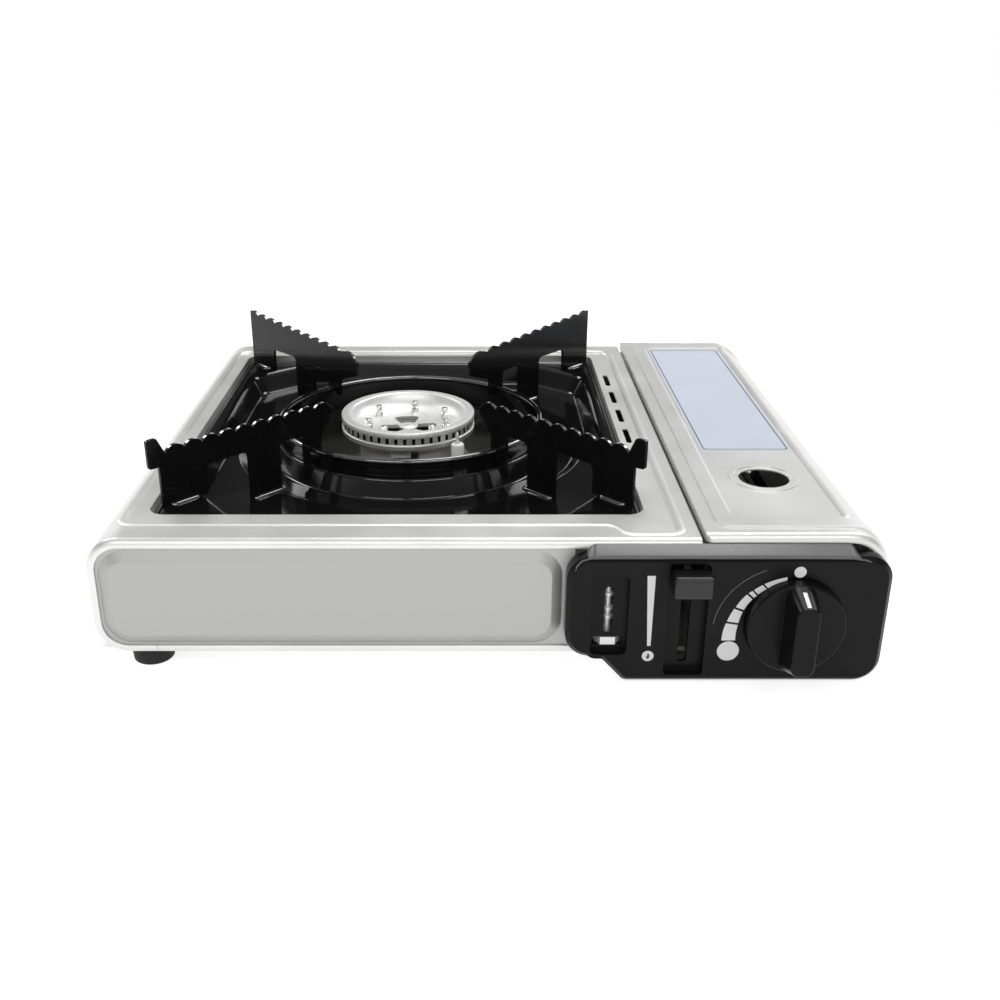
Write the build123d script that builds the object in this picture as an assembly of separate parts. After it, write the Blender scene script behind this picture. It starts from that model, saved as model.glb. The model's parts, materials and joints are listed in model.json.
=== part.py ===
from build123d import *

import os
from math import atan2, cos, degrees, hypot, radians, sin

# Tabletop cassette stove. Millimetres, X across, Y from the controls to the back, Z up.
# The origin is on the ground, under the middle of the overall box.

# Housing
housing_width = 344.0
housing_depth = 308.0
deck_height = 66.0
underside_height = 11.0
control_reach = 28.0
sheet = 0.8
corner_radius = 15.0
edge_bend = 3.0
rim_width = 4.0
seam_inset = 27.0


# Pressed field of the deck
press_depth = 1.0
press_left_inset = 13.0
press_front_inset = 18.0
press_nose_inset = 8.0
press_rear_inset = 16.0
press_right_inset = 8.7
press_nose_length = 21.0
vent_length = 22.0
vent_width = 3.0
vent_pitch = 33.0
vent_count = 5
vent_from_gap = 15.2

# Tray opening and drip tray; the burner stands a little behind the opening's middle
opening_side_margin = 20.1
opening_front_margin = 29.0
opening_rear_margin = 22.0
opening_radius = 8.0
burner_shift = 7.5
ledge_drop = 6.2
ledge_width = 5.0
tray_sheet = 0.8
tray_clearance = 0.5
seat_gap = 0.1
tray_flange = 6.0
basin_depth = 11.5
basin_draft = 6.0
basin_corner_x = 30.0
basin_corner_front = 42.0
basin_corner_rear = 26.0
well_margin = 2.5
well_draft = 6.0
well_depth = 3.5
collar_margin = 17.0
collar_height = 4.6

# Pan support
ring_clearance = 1.0
ring_wall = 1.2
ring_notch_width = 7.6
ring_notch_height = 7.8
ring_rise = 0.3
ring_bead = 1.5
blade_thickness = 1.6
blade_side_margin = 3.0
blade_rear_margin = 2.0
front_overhang = 15.5
rear_overhang = 24.0
front_top_inner = 22.0
front_top_outer = 24.0
rear_top_inner = 23.4
rear_top_outer = 30.2
nose_slope = 2.6
nose_drop = 4.5
front_nose_low = 15.8
rear_nose_low = 11.0
ear_height = 29.0
ear_drop = 15.0
ear_width = 5.4
ear_slope = 1.4
tooth_count = 9
tooth_pitch = 9.7
tooth_depth = 2.3
front_first_notch = 4.5
rear_first_notch = 8.5
foot_length = 24.7
window_length = 24.5
window_top = 9.0
window_corner = 3.0
leg_width = 19.0
inner_window_top = 8.0
fork_width = 4.0
fork_drop = 16.0
inner_fork_drop = 5.0
foot_lip_length = 12.0
hook_gap = 0.3
lip_height = 1.2
lip_width = 5.0

# Burner
cap_radius = 36.7
crest_radius = 35.9
crest_inner_radius = 31.6
crest_rise = 3.3
lip_drop = 0.5
groove_depth = 0.7
slot_count = 48
slot_width = 1.7
slot_top_drop = 2.4
slot_height = 2.8
slot_depth = 2.2
flange_rise = 2.4
cap_flange_bottom = 8.2
dish_drop = 10.2
dish_wall_radius = 24.0
dish_wall_rise = 1.5
window_angles = (97.0, 207.0, 347.0)
window_inner = 4.0
window_outer = 14.8
window_inner_width = 7.5
window_outer_width = 16.0
cap_wall = 2.0
jet_angles = (29.0, 83.0, 139.0, 200.0, 238.5, 306.5, 338.0)
jet_circle_radius = 22.9
jet_radius = 2.1
jet_height = 6.9
jet_bore = 0.6
cup_radius = 28.6
cup_bottom_drop = 24.0
cup_bevel = 3.0
cup_wall = 1.2
cup_neck_wall = 1.2
cup_neck_length = 4.0
throat_radius = 15.2

# Mixing tube and what carries the burner
tube_radius = 5.2
tube_flare = 3.0
tube_flare_length = 10.0
tube_wall = 0.8
tube_height = 23.0
tube_start_from_right = 95.0
tube_from_front = 41.5
tube_bend_offset = 49.0
tube_bend_radius = 60.0
tube_rise_radius = 14.0
stand_width = 44.0
stand_hole_radius = 16.0
stand_half_span = 52.0
stand_foot = 12.0
stand_sheet = 1.5
heat_plate_radius = 80.0
heat_plate_rim = 2.5

# Spark electrode, from the burner centre
electrode_x = 26.3
electrode_y = -34.0
ceramic_radius = 3.5
ceramic_top_drop = 4.8
ceramic_length = 30.0
pin_radius = 0.8
pin_rise = 1.4
tab_drop = 3.2
bracket_width = 10.5

# Pressed front and rear panels
pillow_margin = 1.2
pillow_bevel = 4.6
pillow_front_rise = 2.4
pillow_rear_rise = 0.9
pillow_radius = 12.0

# Lid over the cartridge bay
lid_width = 81.0
lid_gap = 1.6
lid_rise = 2.5
lid_radius = 18.0
lid_bottom = 10.0
lid_hole_radius = 11.8
lid_hole_from_right = 41.4
lid_hole_from_front = 63.6
hole_bead_radius = 16.5
hole_bead_width = 2.2
rib_height = 0.8
rib_left_inset = 6.2
rib_left_width = 7.2
rib_end_inset = 7.5
rib_end_width = 9.5
rib_corner = 6.0
label_from_right = 41.5
label_width = 45.0
label_length = 186.0
label_from_back = 22.0
label_thickness = 0.3
label_radius = 3.0

# Lid hinge
hinge_x_inset = 4.0
hinge_height = 6.5
hinge_pin_radius = 1.5
hinge_running = 0.05
knuckle_radius = 2.6
knuckle_length = 12.0
knuckle_gap = 0.4
hinge_from_end = 52.0

# Cartridge bay
bay_floor_height = 2.0
bay_step_from_right = 114.0
bay_step_run = 4.0
bay_right_inset = 7.0
bay_lip_height = 4.5
bay_wall_from_back = 3.2
partition_from_right = 83.8
ledge_reach = 8.3
cartridge_from_right = 41.0
cartridge_axis_z = 33.8
cartridge_slot_width = 28.0
cartridge_slot_length = 176.0
cartridge_slot_from_front = 70.0

# Control panel
panel_left_from_right = 139.0
panel_right_inset = 2.0
panel_top = 61.5
panel_bottom = 1.5
panel_step_height = 13.5
panel_step_from_right = 124.0
panel_step_run = 11.0
panel_depth = 8.0
panel_wall = 2.4
panel_corner = 11.0
panel_edge = 2.0
pocket_from_right = 120.4
pocket_width = 15.8
pocket_low = 15.0
pocket_high = 53.5
pocket_depth = 4.0
window_width = 3.9
window_low = 23.0
window_high = 46.0
track_width = 17.0
track_low = 5.0
track_high = 58.5
track_depth = 4.5
lever_slot_width = 4.0
slot_low = 9.0
slot_high = 58.0

# Knob and spindle
knob_from_right = 42.0
knob_z = 31.0
knob_radius = 20.75
knob_disc = 7.0
knob_recess = 1.0
knob_clearance = 0.4
grip_width = 13.0
grip_front_width = 9.6
grip_base_height = 41.0
grip_front_height = 31.2
spindle_radius = 3.0
spindle_length = 32.0
spindle_running = 0.05
cam_radius = 8.0
cam_width = 3.0

# Regulator and cartridge seat
seat_from_front = 48.0
seat_sheet = 1.2
seat_width = 66.0
seat_height = 52.0
seat_foot = 12.0
regulator_radius = 21.0
regulator_length = 24.0
regulator_cover_radius = 24.0
regulator_cover_length = 5.0
inlet_radius = 4.0
inlet_length = 6.0
inlet_bore = 1.2
seal_radius = 6.5
seal_length = 2.0
jet_thread_radius = 3.0
brass_jet_radius = 3.5
outlet_radius = 5.0
outlet_length = 5.0
bracket_plate_width = 30.0
bracket_plate_depth = 12.0
locating_tab_width = 5.0
locating_tab_reach = 4.0
locating_tab_height = 1.5

# Pressure lever and yoke
lever_from_right = 87.5
lever_sheet = 1.6
pivot_from_front = 50.0
pivot_height = 35.0
pivot_radius = 2.0
pivot_running = 0.05
lever_reach = 60.0
lever_half_angle = 16.5
crank_radius = 8.8
crank_pin_radius = 1.5
arm_width = 8.0
cap_width = 16.0
cap_height = 10.0
cap_length = 11.0
yoke_gap = 0.3
yoke_sheet = 1.2
yoke_neck_radius = 17.5
yoke_height = 44.0
yoke_from_seat = 6.0

# Piezo igniter and its lead
piezo_size = 11.0
piezo_length = 26.0
piezo_from_face = 5.0
piezo_tail = 4.0
piezo_tail_radius = 3.0
lead_radius = 1.1
lead_height = 13.2
lead_low = 6.5
lead_from_face = 20.0
lead_hole_play = 0.5

# Feet and fasteners
foot_radius = 10.0
foot_taper = 1.0
foot_from_side = 20.0
foot_from_end = 17.0
pad_radius = 8.0
pad_from_side = 24.0
rod_radius = 1.6
rod_from_front = 1.2
rod_collar = 0.9
nut_flats = 11.3
nut_height = 3.6
nut_z = 20.0
screw_head_radius = 3.0
screw_head_height = 1.6
screw_shank_radius = 1.4
screw_length = 4.0
screw_inset = 7.0

# Places worked out from the sizes above
x_left = -housing_width / 2
x_right = housing_width / 2
y_front = (control_reach - housing_depth) / 2
y_back = y_front + housing_depth
seam_x = x_left + seam_inset
deck_right = x_right - lid_width - lid_gap / 2
lid_left = x_right - lid_width + lid_gap / 2
lid_top = deck_height + lid_rise
lid_hole_x = x_right - lid_hole_from_right
label_x = x_right - label_from_right
opening_width = deck_right - x_left - 2 * opening_side_margin
opening_depth = housing_depth - opening_front_margin - opening_rear_margin
tray_y = y_front + opening_front_margin + opening_depth / 2
burner_x = (x_left + deck_right) / 2
burner_y = tray_y + burner_shift
well_top_radius = opening_width / 2 - tray_clearance - tray_flange - basin_draft - well_margin
well_radius = well_top_radius - well_draft
collar_radius = well_radius - collar_margin
ring_radius = collar_radius - ring_clearance
blade_reach_x = opening_width / 2 - blade_side_margin
blade_reach_y = opening_depth / 2 - burner_shift - blade_rear_margin
bay_step_x = x_right - bay_step_from_right
partition_x = x_right - partition_from_right
cartridge_axis_x = x_right - cartridge_from_right
panel_left = x_right - panel_left_from_right
panel_right = x_right - panel_right_inset
panel_step_x = x_right - panel_step_from_right
pocket_x = x_right - pocket_from_right
knob_x = x_right - knob_from_right
lever_x = x_right - lever_from_right
tube_start_x = x_right - tube_start_from_right
tube_bend_x = burner_x + tube_bend_offset
tube_y = y_front + tube_from_front
field_height = deck_height - press_depth
ledge_top = deck_height - ledge_drop
tray_top = ledge_top + seat_gap + tray_sheet
basin_floor = tray_top - basin_depth
well_floor = basin_floor - well_depth
collar_top = well_floor + collar_height
ring_top = deck_height + ring_rise
hinge_x = x_right - hinge_x_inset
bay_floor = bay_floor_height + sheet
panel_face = y_front - panel_depth
track_floor = panel_face + track_depth
knob_back = panel_face + knob_recess - knob_clearance
knob_face = y_front - control_reach
seat_y = y_front + seat_from_front
lid_side = x_right - rib_height
bay_wall_y = y_back - bay_wall_from_back
pivot_y = y_front + pivot_from_front
blade_reach = hypot(blade_reach_x, blade_reach_y)
cup_bottom = deck_height - cup_bottom_drop
ceramic_top = deck_height - ceramic_top_drop
piezo_x = knob_x - cam_radius - piezo_size / 2 - 3
piezo_y = panel_face + piezo_from_face
lead_y = panel_face + lead_from_face


def face_plane(y):
    """Vertical plane across the stove: its x is X and its y is Z."""
    return Plane(origin=(0, y, 0), x_dir=(1, 0, 0), z_dir=(0, -1, 0))


def prism(sketch, y_near, y_far):
    """Run a sketch drawn in X and Z between two depths."""
    return extrude(face_plane(y_far) * sketch, amount=y_far - y_near)


def slab(sketch, z_low, z_high):
    """Raise a plan sketch between two heights."""
    return extrude(Pos(0, 0, z_low) * sketch, amount=z_high - z_low)


def block(x0, x1, y0, y1, z0, z1):
    """Box between two corners."""
    return Pos((x0 + x1) / 2, (y0 + y1) / 2, (z0 + z1) / 2) * Box(x1 - x0, y1 - y0, z1 - z0)


def rounded(x0, x1, y0, y1, radius):
    """Rectangle between two corners, with round corners."""
    return Pos((x0 + x1) / 2, (y0 + y1) / 2) * RectangleRounded(x1 - x0, y1 - y0, radius)


def upright(x, y, z_low, z_high, radius):
    """Vertical cylinder."""
    return Pos(x, y, (z_low + z_high) / 2) * Cylinder(radius, z_high - z_low)


def along_y(x, z, y0, y1, radius):
    """Cylinder lying front to back."""
    return Pos(x, (y0 + y1) / 2, z) * Rot(90, 0, 0) * Cylinder(radius, y1 - y0)


def along_x(y, z, x0, x1, radius):
    """Cylinder lying across."""
    return Pos((x0 + x1) / 2, y, z) * Rot(0, 90, 0) * Cylinder(radius, x1 - x0)


def turned(points, x, y):
    """Revolve a closed profile of (radius, height) points about a vertical axis."""
    profile = make_face(Plane.XZ * Polyline(*points, close=True))
    return Pos(x, y, 0) * revolve(profile, Axis.Z)


def outline(*points):
    """Closed sketch from straight edges."""
    return make_face(Polyline(*points, close=True))


# Sheet housing

def housing_profile(inset):
    """Front view of the burner housing, with round corners on its left."""
    low = underside_height + inset
    high = deck_height - inset
    left = x_left + inset
    shape = outline((left, low), (x_right, low), (x_right, high), (left, high))
    return fillet(shape.vertices().group_by(Axis.X)[0], corner_radius - inset)


def lid_profile(inset):
    """Front view of the lid, open below and round over its right shoulder."""
    low = lid_bottom - rim_width - corner_radius
    high = lid_top - inset
    left = lid_left + inset
    right = lid_side - inset
    shape = outline((left, low), (right, low), (right, high), (left, high))
    shoulder = shape.vertices().group_by(Axis.Y)[-1].sort_by(Axis.X)[-1]
    return fillet(shoulder, lid_radius - inset)


def bent_prism(sketch, y_near, y_far, radius):
    """Prism whose front and back edges are bent over."""
    body = prism(sketch, y_near, y_far)
    ends = body.faces().sort_by(Axis.Y)
    edges = ends[0].edges() + ends[-1].edges()
    return fillet(edges, radius)


def wrapped_sheet(profile):
    """Folded sheet with a narrow rim turned in at its front and back."""
    outer = bent_prism(profile(0), y_front, y_back, edge_bend)
    inner = bent_prism(profile(sheet), y_front + sheet, y_back - sheet, edge_bend - sheet)
    mouth = prism(profile(rim_width), y_front - 1, y_back + 1)
    return outer - inner - mouth


def press_outline():
    """Plan of the pressed field, which steps out towards the front at the right."""
    left = x_left + press_left_inset
    right = deck_right - press_right_inset
    nose = right - press_nose_length
    front = y_front + press_front_inset
    tip = y_front + press_nose_inset
    rear = y_back - press_rear_inset
    run = (front - tip) / 2
    shape = outline((left, front), (nose - run, front), (nose, tip), (right, tip), (right, rear), (left, rear))
    return fillet(shape.vertices(), run)


def opening_outline(outset):
    """Plan of the tray opening in the deck."""
    half_width = opening_width / 2 + outset
    half_depth = opening_depth / 2 + outset
    return rounded(
        burner_x - half_width,
        burner_x + half_width,
        tray_y - half_depth,
        tray_y + half_depth,
        opening_radius + outset,
    )


def make_top_shell():
    shell = wrapped_sheet(housing_profile)
    shell -= block(deck_right, x_right + 1, y_front - 1, y_back + 1, 0, deck_height + 1)
    floor_cut_top = underside_height + rim_width + 1
    shell -= block(seam_x, deck_right + 1, y_front - 1, y_back + 1, 0, floor_cut_top)
    lip_inset = edge_bend + sheet
    shell += block(
        deck_right - sheet,
        deck_right,
        y_front + lip_inset,
        y_back - lip_inset,
        deck_height - rim_width,
        deck_height - sheet / 2,
    )
    field = press_outline()
    pressed = slab(offset(field, sheet), field_height - sheet, deck_height - sheet)
    shell = shell - slab(field, field_height, deck_height + 1) + pressed
    shell -= slab(field, field_height, deck_height)
    opening = opening_outline(0)
    shell -= slab(opening, ledge_top, deck_height + 1)
    wall = slab(opening_outline(sheet), ledge_top - sheet, field_height - sheet)
    wall -= slab(opening, ledge_top, deck_height)
    shell += wall
    shell -= slab(opening_outline(-ledge_width), 0, deck_height)
    vent_x = deck_right - vent_from_gap
    vent = Rot(0, 0, 90) * SlotOverall(vent_length, vent_width)
    for row in range(vent_count):
        vent_y = burner_y + vent_pitch * (row - (vent_count - 1) / 2)
        shell -= slab(Pos(vent_x, vent_y) * vent, field_height - 2 * sheet, deck_height)
    return shell


def make_base_pan():
    wrap = wrapped_sheet(housing_profile)
    reach = underside_height + rim_width + 1
    pan = wrap & block(seam_x + seat_gap, bay_step_x, y_front - 1, y_back + 1, 0, reach)
    step_x = bay_step_x + bay_step_run
    right = x_right - bay_right_inset
    step = outline(
        (bay_step_x - bay_step_run, underside_height),
        (bay_step_x, underside_height),
        (step_x, bay_floor_height),
        (right, bay_floor_height),
        (right, bay_floor_height + bay_lip_height + sheet),
        (right - sheet, bay_floor_height + bay_lip_height + sheet),
        (right - sheet, bay_floor),
        (step_x + sheet, bay_floor),
        (bay_step_x + sheet, underside_height + sheet),
        (bay_step_x - bay_step_run, underside_height + sheet),
    )
    pan += prism(step, y_front + sheet, y_back - sheet)
    slot_front = y_front + cartridge_slot_from_front
    slot_half = cartridge_slot_width / 2
    pan -= slab(
        rounded(
            cartridge_axis_x - slot_half,
            cartridge_axis_x + slot_half,
            slot_front,
            slot_front + cartridge_slot_length,
            slot_half / 2,
        ),
        0,
        bay_floor + 1,
    )
    return pan


def pillow(x0, x1, z0, z1, radius, y_base, y_face, bevel):
    """Raised panel whose edges slope back to its flange."""
    base = face_plane(y_base) * rounded(x0, x1, z0, z1, radius)
    inner = rounded(x0 + bevel, x1 - bevel, z0 + bevel, z1 - bevel, radius - bevel)
    return loft([base, face_plane(y_face) * inner])


def end_panel(x_end, facing):
    """Closing sheet behind the rim, pressed out towards its side."""
    if facing < 0:
        flange_near = y_front + sheet + seat_gap
        face = flange_near - pillow_front_rise
    else:
        flange_near = y_back - sheet - seat_gap
        face = flange_near + pillow_rear_rise
    flange_far = flange_near - facing * sheet
    margin = rim_width + pillow_margin
    x0 = x_left + margin
    z0 = underside_height + margin
    z1 = deck_height - margin
    flange = housing_profile(edge_bend + seat_gap)
    flange &= Pos((x_left + x_end) / 2, deck_height / 2) * Rectangle(x_end - x_left, deck_height * 2)
    panel = prism(flange, min(flange_near, flange_far), max(flange_near, flange_far))
    panel += pillow(x0, x_end - margin, z0, z1, pillow_radius, flange_near, face, pillow_bevel)
    panel -= pillow(
        x0 + sheet / 2,
        x_end - margin - sheet / 2,
        z0 + sheet / 2,
        z1 - sheet / 2,
        pillow_radius,
        flange_far,
        face - facing * sheet,
        pillow_bevel,
    )
    return panel


def make_front_panel():
    return end_panel(panel_left + rim_width - seat_gap, -1)


def make_rear_panel():
    """Rear sheet: pressed behind the burner, and set in behind the cartridge bay."""
    wall_left = partition_x - seat_gap
    panel = end_panel(wall_left, 1)
    wall_right = x_right - bay_right_inset - sheet - seat_gap
    wall_top = deck_height - rim_width
    panel += block(wall_left - sheet, wall_right, bay_wall_y - sheet, bay_wall_y, bay_floor, wall_top)
    joggle_low = underside_height + rim_width
    panel += block(wall_left - sheet, wall_left, bay_wall_y - sheet, y_back - sheet - seat_gap, joggle_low, wall_top)
    for x, z in screw_places():
        panel -= along_y(x, z, bay_wall_y - 2, bay_wall_y + 1, screw_shank_radius)
    return panel


def screw_places():
    """X and Z of the screws that hold the rear sheet round the bay."""
    left = partition_x + sheet + screw_inset
    right = x_right - bay_right_inset - screw_inset
    low = bay_floor + screw_inset
    high = deck_height - rim_width - screw_inset
    return ((left, low), (right, low), (left, high), (right, high))


def make_bay_partition():
    far = bay_wall_y - sheet - seat_gap
    near = y_front + 2 * sheet
    top = deck_height - rim_width
    wall = block(partition_x, partition_x + sheet, near, far, bay_floor, top)
    ledge = block(partition_x, partition_x + ledge_reach, near, far, top - sheet, top)
    partition = wall + ledge
    window_half = crank_radius
    partition -= block(
        partition_x - 1,
        partition_x + sheet + 1,
        pivot_y - window_half,
        pivot_y + window_half + 4,
        pivot_height + 3.4,
        pivot_height + 15,
    )
    partition -= along_x(tube_y, tube_height, partition_x - 1, partition_x + sheet + 1, brass_jet_radius + 2)
    partition -= along_x(lead_y, lead_low, partition_x - 1, partition_x + sheet + 1, lead_radius + lead_hole_play)
    return partition


# Lid and hinge

def make_lid_panel():
    lid = wrapped_sheet(lid_profile)
    below = lid_bottom - deck_height
    lid -= block(lid_left - 1, x_right + 1, y_front - 1, y_back + 1, below, lid_bottom)
    lid -= block(
        lid_left - 1,
        lid_left + rim_width + seat_gap,
        y_front - 1,
        y_back + 1,
        below,
        lid_top - rim_width,
    )
    lid += make_lid_rib()
    hole_y = y_front + lid_hole_from_front
    bead = Pos(lid_hole_x, hole_y) * (Circle(hole_bead_radius) - Circle(hole_bead_radius - hole_bead_width))
    lid += slab(bead, lid_top - sheet / 2, lid_top + rib_height)
    lid -= upright(lid_hole_x, hole_y, lid_top - 2 * sheet, lid_top + 2, lid_hole_radius)
    return lid


def make_lid_rib():
    """Raised band along the lid's left and ends, which runs over the shoulder and down the side."""
    left = lid_left + rib_left_inset
    front = y_front + rib_end_inset
    rear = y_back - rib_end_inset
    reach = x_right + lid_radius
    band = rounded(left, reach, front, rear, rib_corner)
    band -= rounded(left + rib_left_width, reach + 9, front + rib_end_width, rear - rib_end_width, rib_corner)
    skin = prism(lid_profile(-rib_height), front, rear) - prism(lid_profile(sheet / 2), front, rear)
    return skin & slab(band, lid_bottom, lid_top + 2)


def make_label_plate():
    far = y_back - label_from_back
    plate = rounded(
        label_x - label_width / 2,
        label_x + label_width / 2,
        far - label_length,
        far,
        label_radius,
    )
    return slab(plate, lid_top, lid_top + label_thickness)


def hinge_stations():
    """Middle of each hinge along Y."""
    return (y_front + hinge_from_end, y_back - hinge_from_end)


def knuckle(y_mid, length):
    return along_y(hinge_x, hinge_height, y_mid - length / 2, y_mid + length / 2, knuckle_radius)


def hinge_bore(y_mid):
    reach = knuckle_length * 2
    return along_y(hinge_x, hinge_height, y_mid - reach, y_mid + reach, hinge_pin_radius + hinge_running)


def make_hinge_brackets():
    lip_x = x_right - bay_right_inset
    base = []
    pitch = knuckle_length + knuckle_gap
    for y_mid in hinge_stations():
        bracket = block(
            lip_x,
            hinge_x,
            y_mid - pitch - knuckle_length / 2,
            y_mid + pitch + knuckle_length / 2,
            hinge_height - knuckle_radius,
            hinge_height - hinge_pin_radius - hinge_running,
        )
        bracket -= block(
            lip_x + sheet,
            x_right,
            y_mid - pitch + knuckle_length / 2,
            y_mid + pitch - knuckle_length / 2,
            0,
            deck_height,
        )
        bracket += knuckle(y_mid - pitch, knuckle_length)
        bracket += knuckle(y_mid + pitch, knuckle_length)
        base.append(bracket - hinge_bore(y_mid))
    return Compound(children=base)


def make_hinge_pins():
    half = knuckle_length * 1.5 + knuckle_gap
    pins = []
    for y_mid in hinge_stations():
        pins.append(along_y(hinge_x, hinge_height, y_mid - half, y_mid + half, hinge_pin_radius))
    return Compound(children=pins)


def make_lid_hinge_leaves():
    inner_wall = lid_side - sheet
    leaves = []
    for y_mid in hinge_stations():
        leaf = knuckle(y_mid, knuckle_length)
        leaf += block(
            hinge_x + hinge_pin_radius + hinge_running,
            inner_wall,
            y_mid - knuckle_length / 2,
            y_mid + knuckle_length / 2,
            hinge_height,
            lid_bottom + rim_width,
        )
        leaves.append(leaf - hinge_bore(y_mid))
    return Compound(children=leaves)


# Drip tray and pan support

def basin_outline(inset):
    """Plan of the basin, with wide cut corners that seat the blades."""
    half_width = opening_width / 2 - tray_clearance - tray_flange - inset
    half_depth = opening_depth / 2 - tray_clearance - tray_flange - inset
    x0 = burner_x - half_width
    x1 = burner_x + half_width
    y0 = tray_y - half_depth
    y1 = tray_y + half_depth
    cut = basin_corner_x - inset / 2
    front = basin_corner_front - inset / 2
    rear = basin_corner_rear - inset / 2
    return outline(
        (x0 + cut, y0),
        (x1 - cut, y0),
        (x1, y0 + front),
        (x1, y1 - rear),
        (x1 - cut, y1),
        (x0 + cut, y1),
        (x0, y1 - rear),
        (x0, y0 + front),
    )


def basin_solid(spread, drop):
    """Tapered block that fills the basin, grown by the sheet when asked."""
    top = Pos(0, 0, tray_top - drop) * basin_outline(-spread)
    floor = Pos(0, 0, basin_floor - drop) * basin_outline(basin_draft - spread)
    body = loft([top, floor], ruled=True)
    well = turned(
        [
            (0, well_floor - drop),
            (well_radius + spread, well_floor - drop),
            (well_top_radius + spread, basin_floor - drop),
            (well_top_radius + spread, basin_floor - drop + 1),
            (0, basin_floor - drop + 1),
        ],
        burner_x,
        burner_y,
    )
    return body + well


def blade_point(side_x, side_y, reach):
    """Plan position on a blade's line, at a distance from the burner."""
    share = reach / blade_reach
    return burner_x + side_x * blade_reach_x * share, burner_y + side_y * blade_reach_y * share


def blade_frame(side_x, side_y):
    """Vertical plane of a blade: x runs outwards, y is the height above the deck."""
    angle = degrees(atan2(side_y * blade_reach_y, side_x * blade_reach_x))
    turn = radians(angle)
    return Plane(
        origin=(burner_x, burner_y, deck_height),
        x_dir=(cos(turn), sin(turn), 0),
        z_dir=(sin(turn), -cos(turn), 0),
    )


def leg_reach():
    """Distance of the middle leg's centre line from the burner."""
    return blade_reach - foot_length - window_length - leg_width / 2


def foot_lip(side_x, side_y, reach, length, height):
    """Raised oblong lip that grips a blade's foot."""
    x, y = blade_point(side_x, side_y, reach)
    angle = degrees(atan2(side_y * blade_reach_y, side_x * blade_reach_x))
    lip = SlotOverall(length + lip_width, lip_width)
    lip -= Rectangle(length + 2 * lip_width, blade_thickness + 2 * hook_gap)
    lip = Pos(x, y) * Rot(0, 0, angle) * lip
    return slab(lip, height - tray_sheet / 2, height + lip_height)


def make_drip_tray():
    rim = opening_outline(-tray_clearance)
    tray = slab(rim, tray_top - tray_sheet, tray_top) + basin_solid(tray_sheet, tray_sheet)
    tray -= basin_solid(0, 0)
    collar = turned(
        [
            (collar_radius - 2 * tray_sheet, well_floor - tray_sheet),
            (collar_radius + tray_sheet, well_floor - tray_sheet),
            (collar_radius, well_floor),
            (collar_radius, collar_top - tray_sheet),
            (collar_radius - tray_sheet / 2, collar_top),
            (collar_radius - 3 * tray_sheet, collar_top),
            (collar_radius - 3 * tray_sheet, collar_top - tray_sheet),
            (collar_radius - tray_sheet, collar_top - tray_sheet),
        ],
        burner_x,
        burner_y,
    )
    hole_radius = collar_radius - 3 * tray_sheet
    tray -= upright(burner_x, burner_y, well_floor - 5, tray_top + 5, collar_radius - 2 * tray_sheet)
    tray += collar
    tray -= upright(burner_x, burner_y, well_floor - 5, tray_top + 5, hole_radius)
    foot_middle = blade_reach - foot_length / 2
    for side_x in (-1, 1):
        for side_y in (-1, 1):
            tray += foot_lip(side_x, side_y, foot_middle, foot_lip_length, tray_top)
            tray += foot_lip(side_x, side_y, leg_reach(), leg_width - lip_width, basin_floor)
    return tray


def make_support_ring():
    inner = ring_radius - ring_wall
    foot = collar_top + seat_gap
    hoop = turned(
        [
            (inner, foot),
            (ring_radius, foot),
            (ring_radius, ring_top - ring_bead),
            (inner, ring_top - ring_bead),
        ],
        burner_x,
        burner_y,
    )
    angle = degrees(atan2(electrode_y, electrode_x))
    notch = Pos(ring_radius, 0, foot) * Box(4 * ring_wall, ring_notch_width, 2 * ring_notch_height)
    hoop -= Pos(burner_x, burner_y, 0) * Rot(0, 0, angle) * notch
    bead_centre = ring_radius - ring_wall / 2
    bead = Pos(burner_x, burner_y, ring_top - ring_bead) * Torus(bead_centre, ring_bead)
    return hoop + bead


def blade_tooth(start, end, height):
    """Rounded tooth between two notches, given the level of its crest."""
    half = abs(end - start) / 2
    radius = (half * half + tooth_depth * tooth_depth) / (2 * tooth_depth)
    middle = (start + end) / 2
    disc = Pos(middle, height - radius) * Circle(radius)
    return disc & Pos(middle, height - tooth_depth) * Rectangle(2 * half, 2 * tooth_depth)


def blade_body(inner, nose_low, top_inner, top_outer):
    """Side view of a blade without its teeth: x from the burner, y above the deck."""
    foot = tray_top + seat_gap - deck_height
    leg = basin_floor + seat_gap - deck_height
    foot_in = blade_reach - foot_length
    leg_out = leg_reach() + leg_width / 2
    leg_in = leg_reach() - leg_width / 2
    hook = ring_rise + hook_gap
    slot_out = ring_radius - ring_wall / 2 + ring_bead + hook_gap
    slot_in = ring_radius - ring_wall / 2 - ring_bead - hook_gap
    return outline(
        (inner, nose_low),
        (inner, top_inner - nose_drop),
        (inner + nose_slope, top_inner - tooth_depth),
        (blade_reach, top_outer - tooth_depth),
        (blade_reach, foot),
        (foot_in, foot),
        (foot_in, window_top - window_corner),
        (foot_in - window_corner, window_top),
        (leg_out + window_corner, window_top),
        (leg_out, window_top - window_corner),
        (leg_out, leg),
        (leg_in, leg),
        (leg_in, inner_window_top - window_corner),
        (leg_in - window_corner, inner_window_top),
        (slot_out + fork_width + window_corner, inner_window_top),
        (slot_out + fork_width, inner_window_top - window_corner),
        (slot_out + fork_width, -fork_drop),
        (slot_out, -fork_drop),
        (slot_out, hook),
        (slot_in, hook),
        (slot_in, -inner_fork_drop),
        (slot_in - fork_width, -inner_fork_drop),
        (slot_in - fork_width, inner_window_top - window_corner),
    )


def blade_ear():
    """Upturned ear at the outer end of a front blade."""
    return outline(
        (blade_reach - front_first_notch, ear_drop),
        (blade_reach - ear_slope, front_top_outer - tooth_depth),
        (blade_reach + ear_slope, ear_height),
        (blade_reach + ear_width, ear_height),
        (blade_reach + ear_width, ear_drop),
    )


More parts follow.
